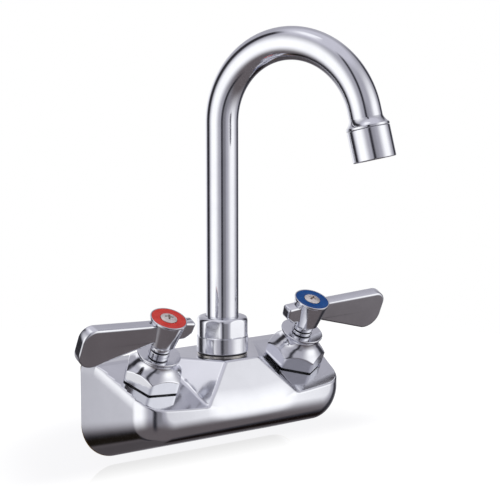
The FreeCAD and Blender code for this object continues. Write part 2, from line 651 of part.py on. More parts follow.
def main():
    os.makedirs("parts", exist_ok=True)
    save(faucet_body(), "faucet_body")
    for piece in (spout_bushing, spout_gasket, spout_nut, spout_tube, spout_ferrule, spout_o_rings,
                  spout_slip_ring, outlet_adapter, aerator_shell, aerator_washer, aerator_insert, aerator_screen):
        save(piece(), piece.__name__)
    for name, side in SIDES.items():
        for piece in (bonnet, bonnet_gasket, stem_bushing, fixed_disc, moving_disc, seat_seal, spindle,
                      stem_o_ring, snap_ring, lever, index_ring, handle_screw, inlet_shank):
            save(piece(side), f"{name}_{piece.__name__}")
        for node, shape in fixings(side).items():
            save(shape, f"{name}_{node}")


main()
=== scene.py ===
import logging
import math
from dataclasses import dataclass, field
from enum import Enum
from typing import Any, Callable, Optional, Sequence, Union

import bmesh
import bpy
import numpy as np
from mathutils import Matrix, Vector


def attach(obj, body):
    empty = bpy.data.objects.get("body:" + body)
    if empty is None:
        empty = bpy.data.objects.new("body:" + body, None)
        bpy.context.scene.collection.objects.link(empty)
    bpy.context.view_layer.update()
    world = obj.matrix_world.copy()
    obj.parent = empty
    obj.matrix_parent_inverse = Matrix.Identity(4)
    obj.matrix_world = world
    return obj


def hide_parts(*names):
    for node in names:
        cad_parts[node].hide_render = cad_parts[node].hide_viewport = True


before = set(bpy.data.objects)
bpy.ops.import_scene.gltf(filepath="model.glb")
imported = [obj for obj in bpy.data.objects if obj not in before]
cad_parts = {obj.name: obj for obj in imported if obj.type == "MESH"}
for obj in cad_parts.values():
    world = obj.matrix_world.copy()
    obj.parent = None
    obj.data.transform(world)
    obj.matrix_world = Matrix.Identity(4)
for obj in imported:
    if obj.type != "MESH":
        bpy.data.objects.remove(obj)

logging.basicConfig(level=logging.INFO, format="%(message)s")
log = logging.getLogger("faucet")

# Metres in a millimetre
MM = 0.001

# A corner or an arc of an outline, and a change to a radius, given radius, height and angle
Item = tuple[float, ...]
Reach = Callable[[np.ndarray, np.ndarray, np.ndarray], np.ndarray]

# Blender's own types, under short names
Tree, Node, Socket = bpy.types.NodeTree, bpy.types.Node, bpy.types.NodeSocket


class Side(Enum):
    """The two ends of the faucet, by the sense of X in which each lies."""

    HOT = -1
    COLD = 1

    @property
    def label(self) -> str:
        """The word that starts the names of this side's nodes."""
        return self.name.lower()

    @property
    def handle(self) -> str:
        """The moving body that this side's handle belongs to."""
        return f"{self.label}_handle"


# Surfaces

# The cosine between an outline's two sides past which their corner is too blunt to round
NEARLY_STRAIGHT = -0.985


@dataclass
class Patch:
    """A sheet of quads in millimetres, with the normals of its points where they are known exactly."""

    points: np.ndarray
    faces: np.ndarray
    normals: Optional[np.ndarray] = None


def grid(points: np.ndarray, wrap_rows: bool = False, wrap_columns: bool = True) -> Patch:
    """Joins a grid of points into quads. Face (i, j) runs through points (i, j), (i, j+1), (i+1, j+1),
    (i+1, j).

    Args:
        points: rows x columns x 3, in millimetres.
        wrap_rows: whether the last row joins the first.
        wrap_columns: whether the last column joins the first.
    Returns:
        The patch.
    """
    rows, columns = points.shape[:2]
    index = np.arange(rows * columns).reshape(rows, columns)
    if wrap_rows:
        index = np.vstack([index, index[:1]])
    if wrap_columns:
        index = np.hstack([index, index[:, :1]])
    faces = np.stack([index[:-1, :-1], index[:-1, 1:], index[1:, 1:], index[1:, :-1]], axis=-1)
    return Patch(points.reshape(-1, 3), faces.reshape(-1, 4))


def outward(patch: Patch) -> Patch:
    """Turns a closed patch right side out: its signed volume, the sum over faces of the triple product of
    their corners, is made positive.

    Args:
        patch: a closed sheet.
    Returns:
        The same sheet, its faces reversed if they pointed inwards.
    """
    a, b, c, d = (patch.points[patch.faces[:, k]] for k in range(4))
    volume = np.einsum("ij,ij->i", a, np.cross(b, c) + np.cross(c, d)).sum()
    if volume < 0:
        patch.faces = patch.faces[:, ::-1]
    return patch


def arc(start: np.ndarray, through: np.ndarray, end: np.ndarray, steps: int = 12) -> np.ndarray:
    """Points on the circle through three points, from the first, left out, to the last. The centre is where
    the perpendicular bisectors of the two chords meet, and the angle grows evenly.

    Args:
        start, through, end: points in the plane.
        steps: how many points.
    Returns:
        steps x 2 points.
    """
    chords = np.array([through - start, end - start])
    squares = np.array([through @ through - start @ start, end @ end - start @ start])
    centre = np.linalg.solve(2 * chords, squares)
    first, middle, last = (math.atan2(*(p - centre)[::-1]) for p in (start, through, end))
    turn = (last - first) % (2 * math.pi)
    if (middle - first) % (2 * math.pi) > turn:
        turn -= 2 * math.pi
    t = first + turn * np.arange(1, steps + 1) / steps
    return centre + math.dist(start, centre) * np.stack([np.cos(t), np.sin(t)], axis=-1)


def trace(items: Sequence[Item], closed: bool = True, soften: float = 0.15, steps: int = 5) -> np.ndarray:
    """Follows an outline: (a, b) is a corner softened by the usual radius, (a, b, r) one with its own
    radius, and (a, b, c, d) an arc through the first pair to the second. A softened corner is an arc
    between the two points where a circle of its radius touches its sides, with one point more on each side
    to keep the flats flat.

    Args:
        items: the outline's corners and arcs.
        closed: whether the end joins the start.
        soften: radius of the corners that give none.
        steps: points on each softened corner.
    Returns:
        n x 2 points.
    """
    spots: list[tuple[np.ndarray, float]] = []
    for item in items:
        if len(item) == 4:
            run = arc(spots[-1][0], np.array(item[:2]), np.array(item[2:]))
            spots += [(p, 0.0) for p in run]
        else:
            spots.append((np.array(item[:2], float), item[2] if len(item) == 3 else soften))
    out: list[np.ndarray] = []
    count = len(spots)
    for i, (corner, radius) in enumerate(spots):
        if not closed and i in (0, count - 1) or radius <= 0:
            out.append(corner[None])
            continue
        back, ahead = spots[i - 1][0] - corner, spots[(i + 1) % count][0] - corner
        long_back, long_ahead = np.linalg.norm(back), np.linalg.norm(ahead)
        back, ahead = back / long_back, ahead / long_ahead
        cosine = float(np.clip(back @ ahead, -1, 1))
        if cosine < NEARLY_STRAIGHT:
            out.append(corner[None])
            continue
        half = math.acos(cosine) / 2
        reach = min(radius / math.tan(half), 0.45 * long_back, 0.45 * long_ahead)
        radius = reach * math.tan(half)
        bisector = (back + ahead) / np.linalg.norm(back + ahead)
        centre = corner + bisector * radius / math.sin(half)
        first, last = corner + back * reach - centre, corner + ahead * reach - centre
        sweep = math.pi - 2 * half
        t = np.linspace(0, 1, steps)[:, None]
        turn = (np.sin((1 - t) * sweep) * first + np.sin(t * sweep) * last) / math.sin(sweep)
        hold = min(0.08, 0.04 * long_back, 0.04 * long_ahead)
        out.append((corner + back * (reach + hold))[None])
        out.append(centre + turn)
        out.append((corner + ahead * (reach + hold))[None])
    return np.vstack(out)


def flowing(points: Sequence[tuple[float, float]], steps: int = 8) -> list[Item]:
    """A smooth run through points, as outline items. Between two points it is the cubic whose slope at each
    is half the step from the point before to the point after, and at the run's two ends the step itself.

    Args:
        points: where the run passes.
        steps: points drawn for each step.
    Returns:
        Items for an outline, with no softening.
    """
    spots = np.array(points, float)
    slope = np.gradient(spots, axis=0)
    t = np.linspace(0, 1, steps, endpoint=False)[None, :, None]
    run = ((2 * t ** 3 - 3 * t ** 2 + 1) * spots[:-1, None] + (t ** 3 - 2 * t ** 2 + t) * slope[:-1, None]
           + (3 * t ** 2 - 2 * t ** 3) * spots[1:, None] + (t ** 3 - t ** 2) * slope[1:, None])
    return [(r, h, 0.0) for r, h in np.vstack([run.reshape(-1, 2), spots[-1:]])]


def angles(count: int, start: float = 0.0) -> np.ndarray:
    """Evenly spaced angles round a full turn, in radians, from a start in degrees."""
    return math.radians(start) + 2 * np.pi * np.arange(count) / count


def crowded(low: float, high: float, count: int, bells: Sequence[tuple[float, float, float]]) -> np.ndarray:
    """Values from low to high that crowd round some of them: each step takes an equal share of the area
    under 1 plus a bell for each crowded value.

    Args:
        low, high: the first value and the last.
        count: how many values.
        bells: for each crowd, its middle, its width and its height.
    Returns:
        The values.
    """
    fine = np.linspace(low, high, 4000)
    crowd = 1 + sum(height * np.exp(-((fine - middle) / width) ** 2) for middle, width, height in bells)
    area = np.cumsum(crowd) - crowd[0]
    return np.interp(np.linspace(0, area[-1], count), area, fine)


def divided(profile: np.ndarray, parts: int, long: Callable[[np.ndarray, np.ndarray], bool]) -> np.ndarray:
    """Cuts some sides of a closed outline into equal parts.

    Args:
        profile: n x 2 points.
        parts: how many parts a cut side has.
        long: says, from a side's two ends, whether it is cut.
    Returns:
        The outline with more points.
    """
    sides = zip(profile, np.roll(profile, -1, axis=0))
    return np.vstack([np.linspace(p, q, parts + 1)[:-1] if long(p, q) else p[None] for p, q in sides])


def turned(profile: np.ndarray, count: int = 96, closed: bool = True, start: float = 0.0,
           reach: Optional[Reach] = None) -> Patch:
    """A surface of revolution about Z: the point at angle t on profile point (r, h) is (r cos t, r sin t,
    h).

    Args:
        profile: n x 2 points of radius and height.
        count: how many angles.
        closed: whether the profile is a closed outline.
        start: the first angle, in degrees.
        reach: changes the radius, given radius, height and angle, as for a hexagon or a thread.
    Returns:
        The patch, right side out.
    """
    t = angles(count, start)[None, :]
    r, h = np.broadcast_arrays(profile[:, :1], profile[:, 1:] + 0 * t)
    if reach:
        r = reach(r, h, np.broadcast_to(t, h.shape))
    return outward(grid(np.stack([r * np.cos(t), r * np.sin(t), h], axis=-1), wrap_rows=closed))


def soft_least(a: np.ndarray, b: np.ndarray, width: float) -> np.ndarray:
    """The lesser of two values, eased where they are within a width of each other by a parabola that
    touches both."""
    near = np.maximum(width - np.abs(a - b), 0) / width
    return np.minimum(a, b) - near * near * width / 4


def soft_most(a: np.ndarray, b: np.ndarray, width: float) -> np.ndarray:
    """The greater of two values, eased in the same way."""
    return -soft_least(-a, -b, width)


def smooth(share: np.ndarray) -> np.ndarray:
    """An eased step from 0 to 1: the share, kept between 0 and 1, in 3 s^2 - 2 s^3."""
    kept = np.clip(share, 0, 1)
    return kept * kept * (3 - 2 * kept)


def round_most(a: np.ndarray, b: np.ndarray, radius: Union[float, np.ndarray]) -> np.ndarray:
    """The greater of two distances, with a round of a radius where both are small: minus the radius, plus
    the length of the two distances past it."""
    past = np.hypot(np.maximum(a + radius, 0), np.maximum(b + radius, 0))
    return np.minimum(np.maximum(a, b), -radius) + past


def oval_most(a: np.ndarray, b: np.ndarray, reach_a: np.ndarray, reach_b: np.ndarray) -> np.ndarray:
    """The greater of two distances, with an oval round of two reaches where both are small. It is nought
    where (a / reach_a + 1)^2 + (b / reach_b + 1)^2 = 1, each square counted only where its root is
    positive."""
    past = np.hypot(np.maximum(a / reach_a + 1, 0), np.maximum(b / reach_b + 1, 0))
    return (past - 1) * np.minimum(reach_a, reach_b)


def hexagon(apothem: float, turn: float, corner: float, low: float, high: float) -> Reach:
    """Limits a radius to a hexagon: apothem / cos(angle from the middle of the flat), with blunt corners.

    Args:
        apothem: middle of the hexagon to a flat.
        turn: degrees from a flat that faces -Y.
        corner: radius that blunts the corners.
        low, high: the heights between which the hexagon holds.
    Returns:
        A function of radius, height and angle.
    """
    def limit(r: np.ndarray, h: np.ndarray, t: np.ndarray) -> np.ndarray:
        """The limited radius."""
        off = np.mod(t - math.radians(turn - 90.0) + math.pi / 6, math.pi / 3) - math.pi / 6
        flat = np.minimum(apothem / np.cos(off), corner)
        return np.where((h > low) & (h < high) & (r > apothem * 0.9), soft_least(r, flat, 0.25), r)
    return limit


def thread(crest: float, depth: float, pitch: float, low: float, high: float) -> Reach:
    """A screw thread: between two heights the radius falls from its crest by the depth times a rounded
    triangle wave of (height - pitch x turns) / pitch, and the thread fades at both ends.

    Args:
        crest: radius at the crests.
        depth, pitch: of the thread.
        low, high: where it starts and ends.
    Returns:
        A function of radius, height and angle.
    """
    def cut(r: np.ndarray, h: np.ndarray, t: np.ndarray) -> np.ndarray:
        """The radius with the thread cut in it."""
        phase = np.mod((h - pitch * t / (2 * np.pi)) / pitch, 1.0)
        wave = np.clip(np.abs(2 * phase - 1) * 1.3 - 0.15, 0, 1)
        fade = np.clip((h - low) / pitch, 0, 1) * np.clip((high - h) / pitch, 0, 1)
        return np.where(np.abs(r - crest) < 0.02, r - depth * wave * fade, r)
    return cut


def plate(outline: np.ndarray, thickness: float, edge: float, steps: int = 6) -> Patch:
    """A flat plate with rounded rims, in the (a, h) plane: rings shrink from the outline by edge x (1 - cos
    q) as the height over the middle plane grows to edge x sin q past the flat rim, and the faces are rings
    scaled to a point.

    Args:
        outline: n x 2 points of the rim.
        thickness: of the plate.
        edge: radius of the rims.
        steps: rings on each rounding.
    Returns:
        The patch, with thickness along its second axis.
    """
    along = np.roll(outline, -1, axis=0) - np.roll(outline, 1, axis=0)
    normal = np.stack([along[:, 1], -along[:, 0]], axis=-1)
    normal /= np.linalg.norm(normal, axis=1, keepdims=True)
    middle = outline.mean(axis=0)
    if ((outline - middle) * normal).sum() < 0:
        normal = -normal
    q = np.linspace(0, np.pi / 2, steps)
    inset = edge * (1 - np.cos(q))
    rise = thickness / 2 - edge + edge * np.sin(q)
    half = [(outline - normal * d, s) for d, s in zip(inset, rise)]
    face = half[-1][0]
    half += [(middle + (face - middle) * scale, thickness / 2) for scale in (0.985, 0.6, 0.25, 0.0)]
    rings = [(ring, -s) for ring, s in half[::-1]] + half
    points = np.stack([
        np.stack([ring[:, 0], np.full(len(ring), s), ring[:, 1]], axis=-1) for ring, s in rings])
    return outward(grid(points))


# Places

@dataclass(frozen=True)
class Place:
    """A turn followed by a shift, in millimetres."""

    turn: np.ndarray = field(default_factory=lambda: np.eye(3))
    shift: np.ndarray = field(default_factory=lambda: np.zeros(3))

    def put(self, points: np.ndarray) -> np.ndarray:
        """The points, turned and shifted."""
        return points @ self.turn.T + self.shift

    def then(self, other: "Place") -> "Place":
        """This place, and then another round it."""
        return Place(other.turn @ self.turn, other.turn @ self.shift + other.shift)


def about(axis: str, degrees: float) -> np.ndarray:
    """The matrix of a turn about X, Y or Z."""
    return np.array(Matrix.Rotation(math.radians(degrees), 3, axis))


@dataclass(frozen=True)
class Frame:
    """The faucet's main places and sizes, in millimetres, shared by its assemblies."""

    valve_x: float = 50.8
    valve_y: float = -30.1
    pad_tilt: float = 25.2
    pad_front_y: float = -54.2
    pad_front_z: float = 12.3
    deck: float = 32.2
    riser_y: float = -28.2
    bend_radius: float = 45.8
    bend_centre: float = 166.2
    bend_angle: float = 166.0
    outlet_straight: float = 5.2
    spout_turn: float = 22.9

    def pad_height(self, y: Union[float, np.ndarray]) -> Union[float, np.ndarray]:
        """Height of the sloped pads at a distance from the wall."""
        return self.pad_front_z + math.tan(math.radians(self.pad_tilt)) * (y - self.pad_front_y)

    def valve(self, side: Side) -> Place:
        """A valve's own axes, square to its pad."""
        shift = np.array([side.value * self.valve_x, self.valve_y, self.pad_height(self.valve_y)])
        return Place(about("X", self.pad_tilt), shift)

    def riser(self) -> Place:
        """The riser's axis, from the deck up."""
        return Place(shift=np.array([0.0, self.riser_y, self.deck]))

    def spout(self) -> Place:
        """From a spout that points straight ahead to where it stands."""
        turn = about("Z", self.spout_turn)
        pivot = np.array([0.0, self.riser_y, 0.0])
        return Place(turn, pivot - turn @ pivot)

    def outlet(self) -> Place:
        """The tube's open end, with Z the way the water leaves."""
        a = math.radians(self.bend_angle)
        end = np.array([0.0, self.riser_y - self.bend_radius * (1 - math.cos(a)),
                        self.bend_centre + self.bend_radius * math.sin(a)])
        out = np.array([0.0, 0.0, self.outlet_straight])
        turn = about("X", self.bend_angle)
        return Place(turn, end + turn @ out).then(self.spout())

    def inlet(self, side: Side) -> Place:
        """An inlet's axis, with Z the way into the wall."""
        return Place(about("X", -90.0), np.array([side.value * self.valve_x, 0.0, 0.0]))


FRAME = Frame()


# Materials

def linear(code: str) -> tuple[float, float, float, float]:
    """A colour written as an sRGB hex code, in the linear values that the shaders take."""
    channels = [int(code[k:k + 2], 16) / 255 for k in (1, 3, 5)]
    return (*[c / 12.92 if c <= 0.04045 else ((c + 0.055) / 1.055) ** 2.4 for c in channels], 1.0)


def add_node(tree: Tree, kind: str, inputs: Optional[dict[Union[str, int], Any]] = None,
             stops: Optional[Sequence[tuple[float, str]]] = None, **settings: Any) -> Node:
    """Adds a node with its settings, sets or links its inputs, and fills its colour ramp where it has one.

    Args:
        tree: where the node goes.
        kind: the node's type name.
        inputs: a value, or a socket to link from, for each named or numbered input.
        stops: positions and hex colours of a colour ramp, two or more.
        settings: the node's own settings.
    Returns:
        The node.
    """
    node = tree.nodes.new(kind)
    for name, value in settings.items():
        setattr(node, name, value)
    for key, value in (inputs or {}).items():
        if isinstance(value, Socket):
            tree.links.new(value, node.inputs[key])
        else:
            node.inputs[key].default_value = value
    for _ in (stops or ())[2:]:
        node.color_ramp.elements.new(0.5)
    for k, (position, colour) in enumerate(stops or ()):
        node.color_ramp.elements[k].position = position
        node.color_ramp.elements[k].color = linear(colour)
    return node


def empty_tree(owner: Union[bpy.types.Material, bpy.types.World]) -> Tree:
    """The node tree of a material or a world, with nothing in it yet."""
    owner.use_nodes = True
    owner.node_tree.nodes.clear()
    return owner.node_tree


def mottle(tree: Tree, scale: float, detail: float, roughness: float) -> Socket:
    """A noise over the piece, with so many blotches to the metre."""
    place = add_node(tree, "ShaderNodeTexCoord").outputs["Object"]
    return add_node(tree, "ShaderNodeTexNoise", {
        "Vector": place, "Scale": scale, "Detail": detail, "Roughness": roughness}).outputs["Fac"]


def tones(tree: Tree, value: Socket, stops: Sequence[tuple[float, str]]) -> Socket:
    """The colour that a ramp gives a value."""
    return add_node(tree, "ShaderNodeValToRGB", {"Fac": value}, stops=stops).outputs["Color"]


def ranged(tree: Tree, value: Socket, span: Sequence[float], low: float = 0.0,
           high: float = 1.0, interpolation: str = "LINEAR") -> Socket:
    """A value's place in a span, carried to between low and high and kept there."""
    return add_node(tree, "ShaderNodeMapRange", {
        "Value": value, "From Min": span[0], "From Max": span[1], "To Min": low, "To Max": high},
        interpolation_type=interpolation).outputs["Result"]


def maths(tree: Tree, operation: str, *values: Any) -> Socket:
    """What an operation makes of its values."""
    return add_node(tree, "ShaderNodeMath", dict(enumerate(values)), operation=operation).outputs[0]


def vectors(tree: Tree, operation: str, *values: Any, output: str = "Vector") -> Socket:
    """What an operation makes of its vectors: a vector, or with the output Value a number."""
    node = add_node(tree, "ShaderNodeVectorMath", dict(enumerate(values)), operation=operation)
    return node.outputs[output]


def mixed(tree: Tree, share: Socket, under: Any, over: Any) -> Socket:
    """One colour laid over another by its share."""
    return add_node(tree, "ShaderNodeMix", {"Factor": share, 6: under, 7: over}, data_type="RGBA").outputs[2]


def add_object(name: str, data: bpy.types.ID) -> bpy.types.Object:
    """Adds an object to the scene."""
    made = bpy.data.objects.new(name, data)
    bpy.context.scene.collection.objects.link(made)
    return made


@dataclass(frozen=True)
class Finish:
    """What every finish has: a colour, how rough it is, and relief at a real scale."""

    name: str
    slot: str
    colour: str
    roughness: float = 0.3
    spread: float = 0.05
    grain: float = 1.0
    relief: float = 0.002

    def material(self) -> bpy.types.Material:
        """The material, made once.

        Returns:
            A node material of this finish's name.
        """
        made = bpy.data.materials.get(self.name)
        if made:
            return made
        made = bpy.data.materials.new(self.name)
        tree = empty_tree(made)
        shader = add_node(tree, "ShaderNodeBsdfPrincipled")
        add_node(tree, "ShaderNodeOutputMaterial", {"Surface": shader.outputs["BSDF"]})
        self.dress(tree, shader)
        return made

    def dress(self, tree: Tree, shader: Node) -> None:
        """Sets the shader up: a noise of the grain's size varies the roughness and lifts the surface a
        little.

        Args:
            tree: the material's nodes.
            shader: its principled shader.
        """
        noise = mottle(tree, 1000.0 / self.grain, 4.0, 0.6)
        rough = ranged(tree, noise, (0.3, 0.7), self.roughness - self.spread, self.roughness + self.spread)
        self.skin(tree, shader, rough, noise)
        shader.inputs["Base Color"].default_value = linear(self.colour)

    def skin(self, tree: Tree, shader: Node, rough: Socket, height: Socket, strength: float = 1.0) -> None:
        """Links a roughness to the shader, and a height that lifts the surface by the finish's relief.

        Args:
            tree: the material's nodes.
            shader: its principled shader.
            rough: the roughness.
            height: from 0 to 1, of the relief.
            strength: of the relief.
        """
        bump = add_node(tree, "ShaderNodeBump", {
            "Height": height, "Distance": self.relief * MM, "Strength": strength})
        tree.links.new(rough, shader.inputs["Roughness"])
        tree.links.new(bump.outputs["Normal"], shader.inputs["Normal"])


@dataclass(frozen=True)
class ChromePlate(Finish):
    """Bright chrome over nickel on polished brass: a mirror with a cool tint. Broad, faint waves from the
    polishing wheel bend its reflections, and a thin haze of wiping marks roughens them by patches."""

    wave: float = 14.0
    bright: str = "#EBECF1"

    def dress(self, tree: Tree, shader: Node) -> None:
        """Mirror-like metal, its reflection bent by waves a few millimetres long and hazed by patches.

        Args:
            tree: the material's nodes.
            shader: its principled shader.
        """
        haze = mottle(tree, 1000.0 / self.grain, 5.0, 0.65)
        rough = ranged(tree, haze, (0.35, 0.7), self.roughness, self.roughness + self.spread)
        self.skin(tree, shader, rough, mottle(tree, 1000.0 / self.wave, 1.0, 0.3))
        tint = tones(tree, haze, [(0.3, self.colour), (0.75, self.bright)])
        tree.links.new(tint, shader.inputs["Base Color"])
        shader.inputs["Metallic"].default_value = 1.0


@dataclass(frozen=True)
class TurnedBrass(Finish):
    """Bar brass straight from the lathe: fine tool rings across the work, and brown tarnish where hands and
    water have been."""

    pitch: float = 0.35
    dark: str = "#6A5940"
    pale: str = "#BCA880"

    def dress(self, tree: Tree, shader: Node) -> None:
        """Metal with tool rings as bands along the part's own axis and a blotched tarnish.

        Args:
            tree: the material's nodes.
            shader: its principled shader.
        """
        place = add_node(tree, "ShaderNodeTexCoord").outputs["Object"]
        tarnish = mottle(tree, 1000.0 / self.grain, 6.0, 0.6)
        rings = add_node(tree, "ShaderNodeTexWave", {
            "Vector": place, "Scale": 1000.0 / self.pitch / 20.0, "Distortion": 0.6, "Detail": 2.0},
            wave_type="BANDS", bands_direction="Y")
        rough = ranged(tree, tarnish, (0.0, 1.0), self.roughness - self.spread, self.roughness + self.spread)
        self.skin(tree, shader, rough, rings.outputs["Fac"], strength=0.6)
        shade = tones(tree, tarnish, [(0.3, self.dark), (0.55, self.colour), (0.8, self.pale)])
        tree.links.new(shade, shader.inputs["Base Color"])
        shader.inputs["Metallic"].default_value = 1.0


@dataclass(frozen=True)
class BareMetal(Finish):
    """Metal with no plate: a rolled, pressed or as-cast skin whose grain and stains vary its grey."""

    dark: str = "#6E6E70"

    def dress(self, tree: Tree, shader: Node) -> None:
        """Metal blotched between two tones, with a skin of its grain's size.

        Args:
            tree: the material's nodes.
            shader: its principled shader.
        """
        super().dress(tree, shader)
        stain = mottle(tree, 250.0 / self.grain, 5.0, 0.6)
        shade = tones(tree, stain, [(0.3, self.dark), (0.7, self.colour)])
        tree.links.new(shade, shader.inputs["Base Color"])
        shader.inputs["Metallic"].default_value = 1.0


@dataclass(frozen=True)
class Moulded(Finish):
    """Moulded plastic or rubber: its own colour right through, paler where it has been handled, with the
    fine bloom of the mould's skin."""

    worn: str = "#FFFFFF"
    ior: float = 1.49
    gloss: float = 0.5

    def dress(self, tree: Tree, shader: Node) -> None:
        """A dielectric whose colour drifts a little towards its worn tone over a few millimetres.

        Args:
            tree: the material's nodes.
            shader: its principled shader.
        """
        super().dress(tree, shader)
        drift = mottle(tree, 300.0 / self.grain, 3.0, 0.55)
        shade = tones(tree, drift, [(0.35, self.colour), (0.8, self.worn)])
        tree.links.new(shade, shader.inputs["Base Color"])
        shader.inputs["IOR"].default_value = self.ior
        shader.inputs["Specular IOR Level"].default_value = self.gloss


# The buffed tube, levers and shell: the clearest mirror on the faucet
CHROME = ChromePlate("chrome_plate", "chrome", "#E2E3E8", roughness=0.08, grain=14.0, relief=0.0015)

# The nut, turned and plated with no buffing, so its reflections are softer
TURNED_CHROME = ChromePlate("chrome_plate_on_turned_nut", "chrome", "#E2E3E8", roughness=0.13, spread=0.03,
                            grain=10.0, relief=0.0005)

# The castings, whose skin waves more than a drawn tube's
CAST_CHROME = ChromePlate("chrome_plate_on_casting", "chrome", "#E2E3E8", roughness=0.09, grain=22.0,
                          relief=0.003, wave=18.0)

# Bare turned brass, a warm metal gone dull, with its tool rings left on
BRASS = TurnedBrass("turned_brass", "brass", "#A08658", roughness=0.26, spread=0.1, grain=6.0, relief=0.02)

# Turned brass under a thin flash of nickel, which leaves it a warm grey
PLATED_BRASS = TurnedBrass("nickelled_brass", "brass", "#C4C0BA", roughness=0.2, spread=0.06, grain=6.0,
                           relief=0.01, dark="#A19C95", pale="#DAD7D2")

# The inside of the casting, never machined: grainy from the sand, and brown
RAW_CASTING = BareMetal("brass_as_cast", "chrome", "#B08C4E", roughness=0.55, spread=0.12, grain=1.2,
                        relief=0.12, dark="#6B5230")

# Moulded rubber, nearly black, with a faint bloom
RUBBER = Moulded("nitrile_rubber", "black_rubber", "#17171A", roughness=0.5, spread=0.08, grain=0.6,
                 relief=0.006, worn="#2B2B2E", ior=1.52)

# Moulded plastic, a milky white with a low sheen
ACETAL = Moulded("white_acetal", "white_acetal", "#DFDFDA", roughness=0.34, spread=0.06, relief=0.004,
                 worn="#F0F0EC", ior=1.48)

# Pressed stainless sheet and woven wire, grey and evenly dull
STEEL = BareMetal("stainless_steel", "steel", "#C9C9CC", roughness=0.22, spread=0.07, grain=0.8,
                  relief=0.005, dark="#9C9C9F")

# The screw's head, forged and barrel-plated, so it glows where the chrome mirrors
NICKEL = BareMetal("nickelled_screw", "steel", "#F4EDE8", roughness=0.44, spread=0.06, grain=0.8,
                   relief=0.004, dark="#DED6D0")

# Spring steel blackened in oil
BLACK_STEEL = BareMetal("blackened_spring_steel", "black_steel", "#3A3A3E", roughness=0.34, spread=0.08,
                        grain=0.7, relief=0.004, dark="#1C1C1F")

# Ceramic ground flat and lapped, cream and glassy
CERAMIC = Moulded("lapped_alumina", "ceramic", "#E9E4D8", roughness=0.12, spread=0.04, grain=0.5,
                  relief=0.001, worn="#F4F1EA", ior=1.76)

# The index rings, moulded and a little dulled by hands
RED = Moulded("red_abs", "red_plastic", "#B9302A", spread=0.06, grain=1.4, relief=0.006, worn="#C8433A",
              ior=1.53, gloss=0.16)
BLUE = Moulded("blue_abs", "blue_plastic", "#023A79", spread=0.06, grain=1.4, relief=0.006, worn="#0E4A88",
               ior=1.53, gloss=0.12)


# Pieces

def weld(mesh: bpy.types.Mesh) -> None:
    """Merges a mesh's points that are less than a micrometre apart, and drops those that no face uses."""
    soup = bmesh.new()
    soup.from_mesh(mesh)
    bmesh.ops.remove_doubles(soup, verts=soup.verts, dist=0.001 * MM)
    loose = [v for v in soup.verts if not v.link_faces]
    bmesh.ops.delete(soup, geom=loose, context="VERTS")
    soup.to_mesh(mesh)
    soup.free()


def fetch(items: Any, name: str, width: int = 1, kind: type = np.float32) -> np.ndarray:
    """Reads one property of a mesh's points, corners or faces.

    Args:
        items: the collection that has it.
        name: of the property.
        width: how many numbers it has.
        kind: of number.
    Returns:
        One row for each item, or a plain list of numbers where the width is 1.
    """
    values = np.empty(len(items) * width, kind)
    items.foreach_get(name, values)
    return values.reshape(-1, width) if width > 1 else values


def make_piece(name: str, patches: Sequence[Patch], finish: Finish, body: str, place: Place, node: str,
               crease: float = 32.0) -> bpy.types.Object:
    """Makes one piece of the faucet from its patches, with its place in its mesh, and lets it ride on its
    body.

    Args:
        name: of the piece.
        patches: its sheets, in the piece's own axes.
        finish: what it wears.
        body: the moving body that it rides on.
        place: where its own axes stand in the faucet's frame.
        node: the CAD node that it stands for.
        crease: degrees past which an edge is sharp.
    Returns:
        The object.
    """
    offsets = np.cumsum([0] + [len(patch.points) for patch in patches])
    points = place.put(np.vstack([patch.points for patch in patches])) * MM
    faces = np.vstack([patch.faces + offset for patch, offset in zip(patches, offsets)])
    mesh = bpy.data.meshes.new(name)
    mesh.vertices.add(len(points))
    mesh.vertices.foreach_set("co", points.astype(np.float32).ravel())
    mesh.loops.add(faces.size)
    mesh.loops.foreach_set("vertex_index", faces.astype(np.int32).ravel())
    mesh.polygons.add(len(faces))
    mesh.polygons.foreach_set("loop_start", np.arange(0, faces.size, 4, dtype=np.int32))
    mesh.update(calc_edges=True)
    weld(mesh)
    mesh.validate()
    mesh.shade_smooth()
    mesh.set_sharp_from_angle(angle=math.radians(crease))
    mesh.materials.append(finish.material())
    piece = add_object(name, mesh)
    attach(piece, body)
    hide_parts(node)
    log.info("%s: %d points on %s", name, len(mesh.vertices), body)
    return piece


